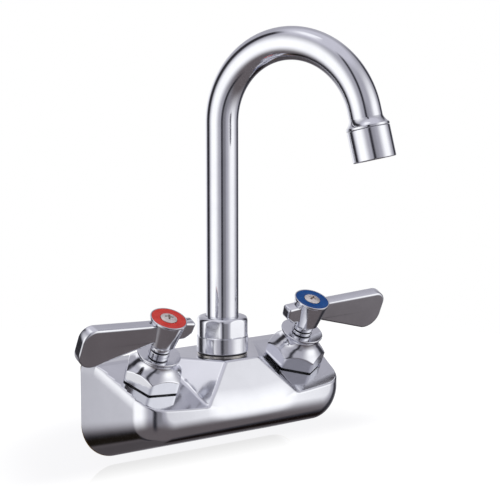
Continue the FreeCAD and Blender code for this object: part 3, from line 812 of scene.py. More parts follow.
@dataclass
class BodyCasting:
    """The cast body: a rounded hull that narrows to its nose, two sloped pads, and a wedge between them."""

    wall_half: float = 79.0
    nose_half: float = 68.6
    depth: float = 60.5
    bottom: float = -25.8
    rise: float = 18.0
    corner_wall: float = 22.0
    corner_nose: float = 15.0
    corner_past: float = 12.0
    bow: float = 390.0
    nose_round: float = 11.5
    end_edge: tuple[float, float] = (2.5, 6.5)
    end_break: float = 0.5
    front_edge: tuple[float, float] = (0.9, 0.9)
    ridge: float = 1.0
    valley: float = 0.8
    shoulder: float = 5.0
    top_front: tuple[float, float] = (11.4, -47.4)
    foot: tuple[float, float] = (32.0, -59.6)
    back: tuple[float, float] = (33.2, -13.4)
    wedge_overlap: float = 1.5
    nose_ease: tuple[float, float] = (1.0, 8.0)
    end_blend: float = 12.0
    bore: float = 11.9
    bore_depth: float = 3.0
    spine: float = 50.0
    spine_height: float = 2.0
    farthest: float = 130.0
    # Where the skin's rows crowd, in degrees from straight ahead, and its end columns, from upright
    turns: tuple[tuple[float, float, float], ...] = ((9.0, 5.0, 3.0), (32.0, 4.0, 1.2), (66.0, 4.0, 0.8))
    end_turns: tuple[tuple[float, float, float], ...] = ((54.0, 18.0, 2.5),)

    def hull(self, x: np.ndarray, y: np.ndarray, z: np.ndarray) -> tuple[np.ndarray, np.ndarray]:
        """Signed distance, positive outside, to the rounded casting with no top: the greater of the
        distances past its leaning ends, its climbing underside and its bowed front, with a round at each
        meeting.

        Args:
            x, y, z: points in the faucet's frame.
        Returns:
            The distance, and the share, from 0 to 1, in which an end and not the front is the nearer face.
        """
        flare = (self.wall_half - self.nose_half) / self.depth
        rise = math.tan(math.radians(self.rise))
        end = (np.abs(x) - (self.wall_half + flare * y)) / math.hypot(1, flare)
        under = (self.bottom - rise * y - z) / math.hypot(1, rise)
        shrink = (self.corner_wall - self.corner_nose) * y / (self.depth + self.corner_past)
        corner = self.corner_wall + shrink
        front = np.hypot(x, y - self.bow + self.depth) - self.bow
        hull = round_most(round_most(end, under, corner), front, self.nose_round)
        return hull, smooth((end - front) / self.end_blend)

    def slope(self, points: Sequence[tuple[float, float, float]]) -> Callable[..., np.ndarray]:
        """The signed height over the plane through three points: the part along its normal of the way from
        the first.

        Args:
            points: three points on the plane.
        Returns:
            A function of x, y and z.
        """
        a, b, c = (np.array(p) for p in points)
        normal = np.cross(b - a, c - a)
        normal *= np.sign(normal[2]) / np.linalg.norm(normal)
        return lambda x, y, z: (x - a[0]) * normal[0] + (y - a[1]) * normal[1] + (z - a[2]) * normal[2]

    def surface(self, x: np.ndarray, y: np.ndarray, z: np.ndarray) -> np.ndarray:
        """Signed distance to the whole outside. The top is under the deck, and under either the pads' plane
        or the wedge's front and two side slopes, with a small round in the valley between the two. The
        pads' plane holds only beside the wedge. Where it makes the top, it meets the front in a small round
        and the ends in a crisp line over a broad round, and where the wedge does, it is eased into the
        nose.

        Args:
            x, y, z: points in the faucet's frame.
        Returns:
            The distance at each point, positive outside.
        """
        (top_x, top_y), (foot_x, foot_y), (back_x, back_y) = self.top_front, self.foot, self.back
        foot_z = float(FRAME.pad_height(foot_y))
        hull, at_end = self.hull(x, y, z)
        deck = z - FRAME.deck
        slant = (z - FRAME.pad_height(y)) * math.cos(math.radians(FRAME.pad_tilt))
        wedge_half = foot_x + (back_x - foot_x) * (y - foot_y) / (back_y - foot_y)
        pad = np.maximum(slant, wedge_half - self.wedge_overlap - np.abs(x))
        top_left, top_right = (-top_x, top_y, FRAME.deck), (top_x, top_y, FRAME.deck)
        foot, back = (foot_x, foot_y, foot_z), (back_x, back_y, FRAME.deck)
        wedge_front = self.slope([top_left, top_right, foot])
        wedge_side = self.slope([top_right, foot, back])
        side = wedge_side(np.abs(x), y, z)
        wedge = round_most(wedge_front(x, y, z), side, self.ridge)
        top = round_most(deck, -round_most(-pad, -wedge, self.valley), self.ridge)
        reach_in, reach_down = (
            ahead + (end - ahead) * at_end for ahead, end in zip(self.front_edge, self.end_edge))
        start, width = self.nose_ease
        on_wedge = smooth((slant - side + start) / width)
        edge = np.maximum(top, oval_most(hull, top - self.end_break * at_end, reach_in, reach_down))
        return (1 - on_wedge) * edge + on_wedge * soft_most(hull, top, self.shoulder)

    def skin(self, rows: int = 178, per_mm: float = 1.2, cap_columns: int = 130, halvings: int = 34,
             nudge: float = 0.02) -> Patch:
        """The outside as a grid of rays. Each starts on a short spine in the wall plane and leans from
        straight ahead to along the wall as its row grows, round a stadium of columns. Its length is found
        by halving, as the place where the signed distance changes sign, and its normal is the slope of that
        distance. Rows and columns crowd where the form turns.

        Args:
            rows: steps from the nose to the wall.
            per_mm: columns per millimetre of spine.
            cap_columns: columns round each end of the spine.
            halvings: how often each ray is halved.
            nudge: the step, in millimetres, over which the distance's slope is taken.
        Returns:
            The open skin, with exact normals.
        """
        run = np.linspace(-self.spine, self.spine, int(2 * self.spine * per_mm))
        cap = np.radians(crowded(0.0, 180.0, cap_columns, self.end_turns)[1:-1])
        tip = np.full(cap.size, self.spine)
        start = np.concatenate([run, tip, run[::-1], -tip])
        lean_x = np.concatenate([0 * run, np.sin(cap), 0 * run, -np.sin(cap)])
        lean_z = np.concatenate([0 * run + 1, np.cos(cap), 0 * run - 1, -np.cos(cap)])
        a = np.radians(crowded(0.0, 90.0, rows, self.turns))[:, None]
        way = np.stack([np.sin(a) * lean_x, -np.cos(a) + 0 * lean_x, np.sin(a) * lean_z], axis=-1)
        origin = np.stack([start, 0 * start, 0 * start + self.spine_height], axis=-1)[None]
        near, far = np.zeros(way.shape[:2]), np.full(way.shape[:2], self.farthest)
        for _ in range(halvings):
            middle = (near + far) / 2
            inside = self.surface(*np.moveaxis(origin + way * middle[..., None], -1, 0)) < 0
            near, far = np.where(inside, middle, near), np.where(inside, far, middle)
        points = origin + way * near[..., None]
        x, y, z = np.moveaxis(points, -1, 0)
        normal = np.stack([
            self.surface(x + nudge, y, z) - self.surface(x - nudge, y, z),
            self.surface(x, y + nudge, z) - self.surface(x, y - nudge, z),
            self.surface(x, y, z + nudge) - self.surface(x, y, z - nudge)], axis=-1)
        normal /= np.linalg.norm(normal, axis=-1, keepdims=True) + 1e-12
        patch = grid(points)
        patch.normals = normal.reshape(-1, 3)
        a, b, _, d = (patch.points[patch.faces[:, k]] for k in range(4))
        facing = np.einsum("ij,ij->i", np.cross(b - a, d - a), patch.normals[patch.faces[:, 0]])
        if facing.sum() < 0:
            patch.faces = patch.faces[:, ::-1]
        return patch

    def without_bores(self, patch: Patch) -> Patch:
        """Opens the skin where the valves and the riser enter it, under their flanges: a face goes where
        its middle is nearer to one of those axes than the bore's radius.

        Args:
            patch: the skin.
        Returns:
            The same skin with fewer faces.
        """
        middle = patch.points[patch.faces].mean(axis=1)
        keep = np.ones(len(middle), bool)
        for place in (FRAME.riser(), FRAME.valve(Side.HOT), FRAME.valve(Side.COLD)):
            own = (middle - place.shift) @ place.turn
            keep &= (np.hypot(own[:, 0], own[:, 1]) > self.bore) | (own[:, 2] < -self.bore_depth)
        patch.faces = patch.faces[keep]
        return patch

    def inside(self) -> tuple[np.ndarray, np.ndarray]:
        """The casting's cavity, bosses, bores and rim, as a copy of the CAD node without its outside: the
        triangles that lie on the wall plane, and those whose middle is more than 0.5 mm under the skin and
        deepest corner more than 0.9 mm.

        Returns:
            Points in millimetres and triangles.
        """
        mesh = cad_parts["faucet_body"].data
        points = fetch(mesh.vertices, "co", 3).astype(float) / MM
        mesh.calc_loop_triangles()
        corners = fetch(mesh.loop_triangles, "vertices", 3, np.int32)
        triangle = points[corners]
        middle_depth = self.surface(*np.moveaxis(triangle.mean(axis=1), -1, 0))
        deepest_corner = self.surface(*np.moveaxis(triangle, -1, 0)).min(axis=1)
        within = (middle_depth < -0.5) & (deepest_corner < -0.9)
        on_wall = np.abs(triangle[..., 1]).max(axis=1) < 0.01
        return points, corners[within | on_wall]

    def build(self) -> bpy.types.Object:
        """Makes the body from its skin and its inside, and gives the skin its exact normals, which an
        attribute carries through the welding of the points.

        Returns:
            The piece that stands for the CAD body.
        """
        skin = self.without_bores(self.skin())
        mesh = bpy.data.meshes.new("faucet_body_casting")
        inner_points, inner_faces = self.inside()
        points = np.vstack([skin.points, inner_points]) * MM
        faces = skin.faces.tolist() + (inner_faces + len(skin.points)).tolist()
        mesh.from_pydata(points.tolist(), [], faces)
        wears = np.concatenate([np.zeros(len(skin.faces), np.int32), np.ones(len(inner_faces), np.int32)])
        mesh.polygons.foreach_set("material_index", wears)
        exact = mesh.attributes.new("exact_normal", "FLOAT_VECTOR", "POINT")
        normals = np.vstack([skin.normals, 0 * inner_points]).astype(np.float32)
        exact.data.foreach_set("vector", normals.ravel())
        weld(mesh)
        mesh.shade_smooth()
        mesh.set_sharp_from_angle(angle=math.radians(30))
        stored = fetch(mesh.attributes["exact_normal"].data, "vector", 3)
        mesh.attributes.remove(mesh.attributes["exact_normal"])
        own = fetch(mesh.corner_normals, "vector", 3)
        known = stored[fetch(mesh.loops, "vertex_index", kind=np.int32)]
        on_skin = np.repeat(fetch(mesh.polygons, "material_index", kind=np.int32) == 0,
                            fetch(mesh.polygons, "loop_total", kind=np.int32))
        use_known = on_skin[:, None] & (np.abs(known).sum(axis=1, keepdims=True) > 0.5)
        mesh.normals_split_custom_set(np.where(use_known, known, own).tolist())
        mesh.materials.append(CAST_CHROME.material())
        mesh.materials.append(RAW_CASTING.material())
        piece = add_object("faucet_body_casting", mesh)
        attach(piece, "body")
        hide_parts("faucet_body")
        log.info("faucet_body_casting: %d points, %d in its skin", len(mesh.vertices), len(skin.points))
        return piece


@dataclass
class Spout:
    """The riser's foot with its brass flange and nut, the gooseneck, and the outlet with its aerator."""

    tube: float = 9.35
    wall: float = 1.1
    foot: float = -12.0
    neck_bore: float = 10.75
    neck_low: float = 11.8
    neck_high: float = 13.1
    neck_foot: float = -15.0
    flange: float = 0.7
    gasket: float = 1.0
    nut_radius: float = 14.95
    nut_bore: float = 13.2
    nut_roof: float = 13.6
    nut_skirt: float = 9.3
    nut_hex: float = 11.2
    nut_flats: float = 28.2
    nut_turn: float = 1.6
    seam: float = 0.35
    flare: float = 4.3
    adapter: float = 12.1
    adapter_bore: float = 7.3
    adapter_plug: float = 8.2
    adapter_reach: float = 6.0
    rim: float = 1.2
    shell: float = 12.0
    shell_length: float = 17.5
    shell_bore: float = 10.4
    lip_bore: float = 8.6
    lip: float = 1.4

    def bushing(self) -> None:
        """The brass neck, whose flange shows as a line under the nut."""
        rim = self.nut_radius - 0.5
        top = self.flange + self.gasket + self.nut_skirt - 1.0
        profile = trace([
            (self.neck_bore, self.neck_foot), (self.neck_low, self.neck_foot), (self.neck_low, 0.0),
            (rim, 0.0), (rim, self.flange, 0.25), (self.neck_high, self.flange), (self.neck_high, top),
            (self.neck_bore, top)])
        make_piece("spout_bushing_brass", [turned(profile)], PLATED_BRASS, "body", FRAME.riser(),
                   "spout_bushing")

    def squeezed_gasket(self) -> None:
        """The black ring, bulged a little by the nut."""
        low, high = self.flange, self.flange + self.gasket
        inner, outer = 13.15, 13.9
        bulge = outer + 0.15
        profile = trace([(inner, low), (outer, low), (bulge, (low + high) / 2, outer, high), (inner, high)])
        make_piece("spout_gasket_squeezed", [turned(profile)], RUBBER, "body", FRAME.riser(), "spout_gasket")

    def nut(self) -> None:
        """The chrome coupling nut: a turned skirt, a fine seam, and a hexagon under a turned crown."""
        low = self.flange + self.gasket
        seam = low + self.nut_skirt
        top = seam + self.nut_hex
        side, hole = self.nut_radius, self.tube + 0.25
        profile = trace([
            (self.nut_bore, low), (side, low, 0.5), (side, seam - self.seam, 0.12),
            (side - self.seam, seam, 0.0), (side, seam + self.seam, 0.12), (side, top - 2.6, 0.0),
            (side - 0.75, top - 0.85, 12.5, top), (hole, top, 0.2), (hole, self.nut_roof),
            (self.nut_bore, self.nut_roof)])
        profile = divided(profile, 6, lambda p, q: abs(q[1] - p[1]) > 3)
        shape = turned(profile, 144, start=self.nut_turn, reach=hexagon(
            self.nut_flats / 2, self.nut_turn, side + 1, seam + 0.01, top + 1))
        make_piece("spout_nut_plated", [shape], TURNED_CHROME, "body", FRAME.riser(), "spout_nut", crease=28)

    def gooseneck(self) -> None:
        """The tube: a ring of the tube's radius carried up the riser, round the bend and down the short
        end, outside and then back inside. At angle q of the bend the ring's middle is R (1 - cos q) ahead
        and R sin q up, and its plane has turned by q."""
        bend = math.radians(FRAME.bend_angle)
        rise = FRAME.bend_centre - (FRAME.deck + self.foot)
        s = np.concatenate([
            np.linspace(0, rise, 40), rise + FRAME.bend_radius * np.linspace(0, bend, 120)[1:],
            rise + FRAME.bend_radius * bend + np.linspace(0, FRAME.outlet_straight, 5)[1:]])
        q = np.clip((s - rise) / FRAME.bend_radius, 0, bend)
        up = np.minimum(s, rise) + FRAME.bend_radius * np.sin(q)
        past = np.maximum(s - rise - FRAME.bend_radius * bend, 0)
        ahead = -FRAME.bend_radius * (1 - np.cos(q)) - past * np.sin(bend)
        up = up + past * np.cos(bend) + FRAME.deck + self.foot
        middle = np.stack([0 * s, FRAME.riser_y + ahead, up], axis=-1)
        side = np.stack([0 * s, np.cos(q), np.sin(q)], axis=-1)
        t = angles(96)
        across = np.cos(t)[None, :, None] * np.array([1.0, 0, 0]) + np.sin(t)[None, :, None] * side[:, None]
        outside = middle[:, None] + self.tube * across
        inside = middle[:, None] + (self.tube - self.wall) * across
        shape = outward(grid(np.concatenate([outside, inside[::-1]]), wrap_rows=True))
        make_piece("gooseneck_tube", [shape], CHROME, "spout", FRAME.spout(), "spout_tube", crease=50)

    def flared_end(self) -> None:
        """The fitting on the tube's end: an eased flare up to a plain rim."""
        rim = self.flare + self.rim
        end = rim + self.adapter_reach
        thread_radius = self.shell_bore - 0.1
        profile = trace([
            (self.adapter_bore, -self.adapter_reach), (self.adapter_plug, -self.adapter_reach),
            (self.adapter_plug, 0.0), (self.tube, 0.0, 0.0),
            (self.tube + 0.75, 1.9, self.adapter, self.flare), (self.adapter, self.flare + 0.1, 0.0),
            (self.adapter, rim), (thread_radius, rim), (thread_radius, end), (self.adapter_bore, end)])
        make_piece("outlet_flare", [turned(profile)], CHROME, "spout", FRAME.outlet(), "outlet_adapter")

    def aerator(self) -> None:
        """The aerator's chrome shell, with a softly turned lip."""
        top = self.flare + self.rim + 0.25
        end = top + self.shell_length
        profile = trace([
            (self.shell_bore, top), (self.shell, top, 0.35), (self.shell, end, 0.6),
            (self.lip_bore, end, 0.3), (self.lip_bore, end - self.lip), (self.shell_bore, end - self.lip)])
        make_piece("aerator_shell_plated", [turned(profile)], CHROME, "spout", FRAME.outlet(),
                   "aerator_shell")

    def build(self) -> None:
        """Makes every piece of the spout."""
        self.bushing()
        self.squeezed_gasket()
        self.nut()
        self.gooseneck()
        self.flared_end()
        self.aerator()


@dataclass
class Valve:
    """One valve and its handle, built on the valve's own axis and mirrored for the other side where it must
    be."""

    side: Side
    bonnet_turn: float
    height: float
    ring: Finish
    gasket: float = 0.9
    hex_corner: float = 17.7
    hex_top: float = 7.3
    disc: float = 12.6
    neck: float = 11.4
    bore: float = 5.85
    collar_radius: float = 5.8
    collar_top: float = 20.5
    stem_radius: float = 4.95
    clip_low: float = 20.6
    clip_high: float = 21.6
    hub_bottom: float = 25.2
    hub_top: float = 41.8
    hub_foot: float = 7.7
    hub_head: float = 10.2
    hub_bore: float = 6.0
    screw_hole: float = 2.3
    screw_seat: float = 35.2
    cap: float = 10.5
    index: float = 9.8
    index_depth: float = 1.5
    screw: float = 4.7
    blade: float = 7.0
    blade_round: float = 1.3
    spline: float = 5.8

    def piece(self, name: str, patches: Sequence[Patch], finish: Finish, body: str, node: str,
              crease: float = 32.0) -> None:
        """Makes one of this side's pieces on the valve's own axis.

        Args:
            name: of the piece, less its side.
            patches: its sheets.
            finish: what it wears.
            body: the moving body that it rides on.
            node: the CAD node that it stands for, less its side.
            crease: degrees past which an edge is sharp.
        """
        label, place = self.side.label, FRAME.valve(self.side)
        make_piece(f"{label}_{name}", patches, finish, body, place, f"{label}_{node}", crease)

    def bonnet(self) -> None:
        """The bonnet: a turned form, hexagonal at its foot, that rolls over into a waist under its disc.
        The radius is the lesser of the turned profile's and the hexagon's, and the roll is stretched to the
        bonnet's height."""
        apothem = self.hex_corner * math.cos(math.pi / 6)
        widest = self.hex_corner + 0.6
        low, top = self.hex_top, self.height
        sweep = top - low
        profile = trace([
            (self.bore, self.gasket), (widest, self.gasket, 0.2), (widest, 4.2, 0.0),
            *flowing([
                (self.hex_corner, low), (15.4, low + 0.18 * sweep), (13.4, low + 0.34 * sweep),
                (12.0, low + 0.5 * sweep), (self.neck, top - 3.5), (self.neck + 0.2, top - 2.0),
                (self.disc - 0.4, top - 1.1)]),
            (self.disc, top - 0.9, 0.15), (self.disc, top, 0.7), (self.bore, top, 0.2)])
        profile = divided(profile, 5, lambda p, q: np.abs(q - p).max() > 2 and p[0] > 12)
        shape = turned(profile, 144, start=self.bonnet_turn, reach=hexagon(
            apothem, self.bonnet_turn, self.hex_corner * 0.99, 0.0, 12.0))
        self.piece("bonnet_plated", [shape], CAST_CHROME, "body", "bonnet", crease=28)

    def foot_gasket(self) -> None:
        """The black ring under the bonnet."""
        inner, outer = 11.9, 14.9
        profile = trace([(inner, 0.0), (outer, 0.0, 0.2), (outer, self.gasket, 0.2), (inner, self.gasket)])
        self.piece("bonnet_gasket_seated", [turned(profile)], RUBBER, "body", "bonnet_gasket")

    def collar(self) -> None:
        """The gland's collar round the stem."""
        inner, shank, side = 5.0, 5.55, self.collar_radius
        foot, seat, top = 15.1, 18.0, self.collar_top
        profile = trace([
            (inner, foot), (shank, foot), (shank, seat), (side, seat), (side, top, 0.4), (inner, top, 0.3)])
        self.piece("stem_collar", [turned(profile)], CHROME, "body", "stem_bushing")

    def clip(self) -> None:
        """The black spring clip in the stem's groove, open at one side: a square bar bent through 340
        degrees, each end closed to a point in its middle."""
        inner, outer, low, high = 4.5, 5.5, self.clip_low + 0.05, self.clip_high - 0.1
        profile = trace([(inner, low), (outer, low), (outer, high), (inner, high)])
        t = np.linspace(math.radians(100), math.radians(440), 70)[None, :]
        r, h = profile[:, :1], profile[:, 1:]
        body = np.stack([r * np.cos(t), r * np.sin(t), h + 0 * t], axis=-1)
        ends = [np.broadcast_to(e.mean(axis=0), e.shape)[:, None] for e in (body[:, 0], body[:, -1])]
        bar = np.concatenate([ends[0], body, ends[1]], axis=1)
        shape = outward(grid(bar, wrap_rows=True, wrap_columns=False))
        self.piece("stem_clip", [shape], BLACK_STEEL, self.side.handle, "snap_ring")

    def stem(self) -> None:
        """The stem: round and grooved below, with vee splines above, where the radius falls from tip to
        root and back in every tooth."""
        count, depth, start = 16, 0.7, 23.7
        side, groove, ring_groove = self.stem_radius, 4.45, 4.05
        drive, drive_foot = 8.4, -9.0

        def teeth(r: np.ndarray, h: np.ndarray, t: np.ndarray) -> np.ndarray:
            """The radius, less the depth of the splines."""
            wave = np.abs(np.mod(t * count / (2 * np.pi), 1.0) * 2 - 1)
            return np.where((h > start - 0.05) & (r > 5.0), r - depth * (1 - wave), r)

        profile = trace([
            (0, drive_foot), (drive, drive_foot), (drive, -5.8), (side, -3.8), (side, 5.0),
            (ring_groove, 5.0), (ring_groove, 7.0), (side, 7.0), (side, self.clip_low),
            (groove, self.clip_low), (groove, self.clip_high), (5.9, self.clip_high, 0.3), (5.9, 23.6, 0.2),
            (self.spline, start), (self.spline, 35.0, 0.4), (2.0, 35.0), (2.0, 26.0), (0, 26.0)],
            closed=False)
        shape = turned(profile, 128, closed=False, reach=teeth)
        self.piece("stem_splined", [shape], CHROME, self.side.handle, "spindle")

    def lever(self) -> None:
        """The handle: a hub that widens to its cap, a tall paddle pointing outwards and a short tail."""
        top, well = self.hub_top, self.index + 0.05
        floor = top - self.index_depth
        hub = turned(trace([
            (self.hub_bore, self.hub_bottom), (self.hub_foot, self.hub_bottom, 0.7),
            (self.hub_head, top - 1.4, 0.1), (self.cap, top - 1.1, 0.1), (self.cap, top, 0.35),
            (well, top, 0.1), (well, floor, 0.05), (self.screw_hole, floor),
            (self.screw_hole, self.screw_seat), (self.hub_bore, self.screw_seat)]))
        blade = trace([
            (0.0, 39.3, 0), (55.3, 42.5, 7.5), (55.8, 14.1, 10.0), (8.0, 28.0, 0), (0.0, 28.0, 0)], steps=16)
        tail = trace([
            (0.0, 40.2, 0), (-17.9, 38.2, 1.6), (-17.0, 31.6, 2.5), (-12.5, 28.2, 4.0), (0.0, 28.0, 0)],
            steps=9)
        outwards = np.array([self.side.value, 1.0])
        plates = [plate(outline * outwards, self.blade, self.blade_round) for outline in (blade, tail)]
        self.piece("lever_plated", [hub, *plates], CHROME, self.side.handle, "lever", crease=40)

    def colour_ring(self) -> None:
        """The coloured ring let into the cap, a little dished between its two rims."""
        low, top, dish = self.hub_top - self.index_depth, self.hub_top - 0.05, self.hub_top - 0.22
        inner = self.screw + 0.1
        profile = trace([
            (inner, low), (self.index, low), (self.index, top, 0.2), (self.index - 1.0, top, 0.1),
            ((self.index + self.screw) / 2, dish, self.screw + 1.0, top), (inner, top, 0.2)])
        self.piece("colour_ring", [turned(profile)], self.ring, self.side.handle, "index_ring")

    def cap_screw(self) -> None:
        """The domed screw in the cap. Its top falls with the 2.4th power of the radius, less a cross recess,
        which has its full depth inside either arm and walls that slope over 0.3 mm."""
        low = self.hub_top - self.index_depth
        half, reach, deep, shank, foot = 0.5, 2.5, 2.3, 1.9, 29.0
        t = angles(180)[None, :]
        r = np.concatenate([np.linspace(0.02, 3.4, 60), np.linspace(3.45, self.screw, 14)])[:, None]
        top = self.hub_top + 0.2 + 1.15 * (1 - (r / self.screw) ** 2.4) + 0 * t
        turn = math.radians(30.0 * self.side.value)
        x, y = np.abs(r * np.cos(t - turn)), np.abs(r * np.sin(t - turn))
        arms = np.maximum(np.minimum(half - x, reach - y), np.minimum(half - y, reach - x))
        cross = np.clip((arms + 0.1) / 0.3, 0, 1) * np.clip((reach + 0.3 - r) / 0.8, 0, 1)
        top = top - deep * cross
        dome = np.stack([r * np.cos(t), r * np.sin(t), top], axis=-1)
        peak = np.broadcast_to(np.array([0.0, 0.0, top[0].mean()]), dome[:1].shape)
        skirt = trace([
            (self.screw, self.hub_top + 0.1), (self.screw, low), (shank, low), (shank, foot), (0, foot)],
            closed=False)
        under = np.stack([skirt[:, :1] * np.cos(t), skirt[:, :1] * np.sin(t), skirt[:, 1:] + 0 * t], axis=-1)
        shape = outward(grid(np.concatenate([peak, dome, under])))
        self.piece("cap_screw", [shape], NICKEL, self.side.handle, "handle_screw", crease=50)

    def build(self) -> None:
        """Makes every piece of the valve."""
        self.bonnet()
        self.foot_gasket()
        self.collar()
        self.clip()
        self.stem()
        self.lever()
        self.colour_ring()
        self.cap_screw()


@dataclass
class Inlet:
    """One inlet: a threaded brass shank with its rubber washer, steel washer and lock nut."""

    side: Side
    radius: float = 10.45
    bore: float = 7.6
    length: float = 30.0
    engaged: float = 12.0
    pitch: float = 1.814
    thread_depth: float = 0.75
    groove: tuple[float, float] = (12.5, 13.5)
    groove_depth: float = 0.7
    washer: float = 15.5
    nut_flats: float = 28.0
    # Heights at which the rubber washer, the steel washer and the nut each start, and the nut ends
    stack: tuple[float, float, float, float] = (2.0, 4.0, 5.4, 11.9)

    def shank(self) -> Patch:
        """The shank, threaded on either side of a turned groove.

        Returns:
            The patch, on the inlet's axis.
        """
        (low, high), floor = self.groove, self.radius - self.groove_depth
        before = np.linspace(-self.engaged + 0.4, low - 0.1, 118)
        after = np.linspace(high + 0.1, self.length - 1.05, 74)
        profile = np.vstack([
            [(self.bore, -self.engaged), (self.radius - 0.4, -self.engaged)],
            np.stack([0 * before + self.radius, before], -1), [(floor, low), (floor, high)],
            np.stack([0 * after + self.radius, after], -1),
            [(self.radius - 1.0, self.length), (self.bore, self.length)]])
        cut = thread(self.radius, self.thread_depth, self.pitch, -self.engaged, self.length)
        return turned(profile, 72, reach=cut)

    def ring(self, low: float, high: float, edge: float) -> Patch:
        """A washer between two heights, with its outer edges rounded."""
        clear = self.radius + 0.15
        side = self.washer
        return turned(trace([(clear, low), (side, low, edge), (side, high, edge), (clear, high)]))

    def nut(self, low: float, high: float) -> Patch:
        """The lock nut: a hexagon whose corners are bevelled at both faces.

        Args:
            low, high: the heights of its faces.
        Returns:
            The patch, on the inlet's axis.
        """
        clear, bevel = self.radius + 0.15, 0.9
        apothem = self.nut_flats / 2
        corner = apothem / math.cos(math.pi / 6)
        profile = trace([
            (clear, low), (apothem + 0.3, low, 0.0), (corner, low + bevel, 0.0), (corner, high - bevel, 0.0),
            (apothem + 0.3, high, 0.0), (clear, high)])
        return turned(profile, 144, reach=hexagon(apothem, 0.0, corner * 0.99, 5.0, 12.0))

    def build(self) -> None:
        """Makes the shank, the washers and the nut."""
        label, place = self.side.label, FRAME.inlet(self.side)
        soft, hard, nut, end = self.stack
        for name, patch, finish, node, crease in (
                ("shank_threaded", self.shank(), BRASS, "inlet_shank", 60.0),
                ("rubber_seat", self.ring(soft, hard, 0.3), RUBBER, "rubber_washer", 32.0),
                ("plain_washer", self.ring(hard, nut, 0.25), STEEL, "steel_washer", 32.0),
                ("lock_nut_brass", self.nut(nut, end), BRASS, "lock_nut", 28.0)):
            make_piece(f"{label}_{name}", [patch], finish, "body", place, f"{label}_{node}", crease)


def dress_nodes() -> None:
    """Gives every CAD node that still shows, or lies hidden inside, the finish that it is made of."""
    finishes = {
        "spout_slip_ring": ACETAL, "spout_ferrule": BRASS, "spout_o_rings": RUBBER, "aerator_washer": RUBBER,
        "aerator_insert": ACETAL, "aerator_screen": STEEL, "fixed_disc": CERAMIC, "moving_disc": CERAMIC,
        "seat_seal": RUBBER, "stem_o_ring": RUBBER, "bonnet_gasket": RUBBER, "snap_ring": BLACK_STEEL,
        "inlet_shank": BRASS, "rubber_washer": RUBBER, "steel_washer": STEEL, "lock_nut": BRASS,
        "spout_bushing": PLATED_BRASS, "spout_gasket": RUBBER, "handle_screw": NICKEL, "hot_index_ring": RED,
        "cold_index_ring": BLUE,
    }
    for name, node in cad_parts.items():
        finish = finishes.get(name) or finishes.get(name.split("_", 1)[1], CHROME)
        node.data.materials.clear()
        node.data.materials.append(finish.material())
        log.info("%s wears %s", name, finish.name)


# Stage

@dataclass(frozen=True)
class Panel:
    """One thing that stands round the faucet, as bright metal mirrors it: a soft box, a flag, a sheet, or a
    painted shadow.
    Its middle is so many degrees to the right of the camera, it is half there so many degrees to either
    side, and its sides fade over a width. Its foot and its head fade between two heights each, in degrees
    over the horizon."""

    name: str
    tone: str
    middle: float = 0.0
    half: float = 200.0
    soft: float = 1.0
    foot: tuple[float, float] = (-100.0, -99.0)
    head: tuple[float, float] = (99.0, 100.0)


@dataclass(frozen=True)
class Lamp:
    """A square soft lamp: where it stands, its side in metres and its power in watts."""

    name: str
    place: tuple[float, float, float]
    size: float
    power: float


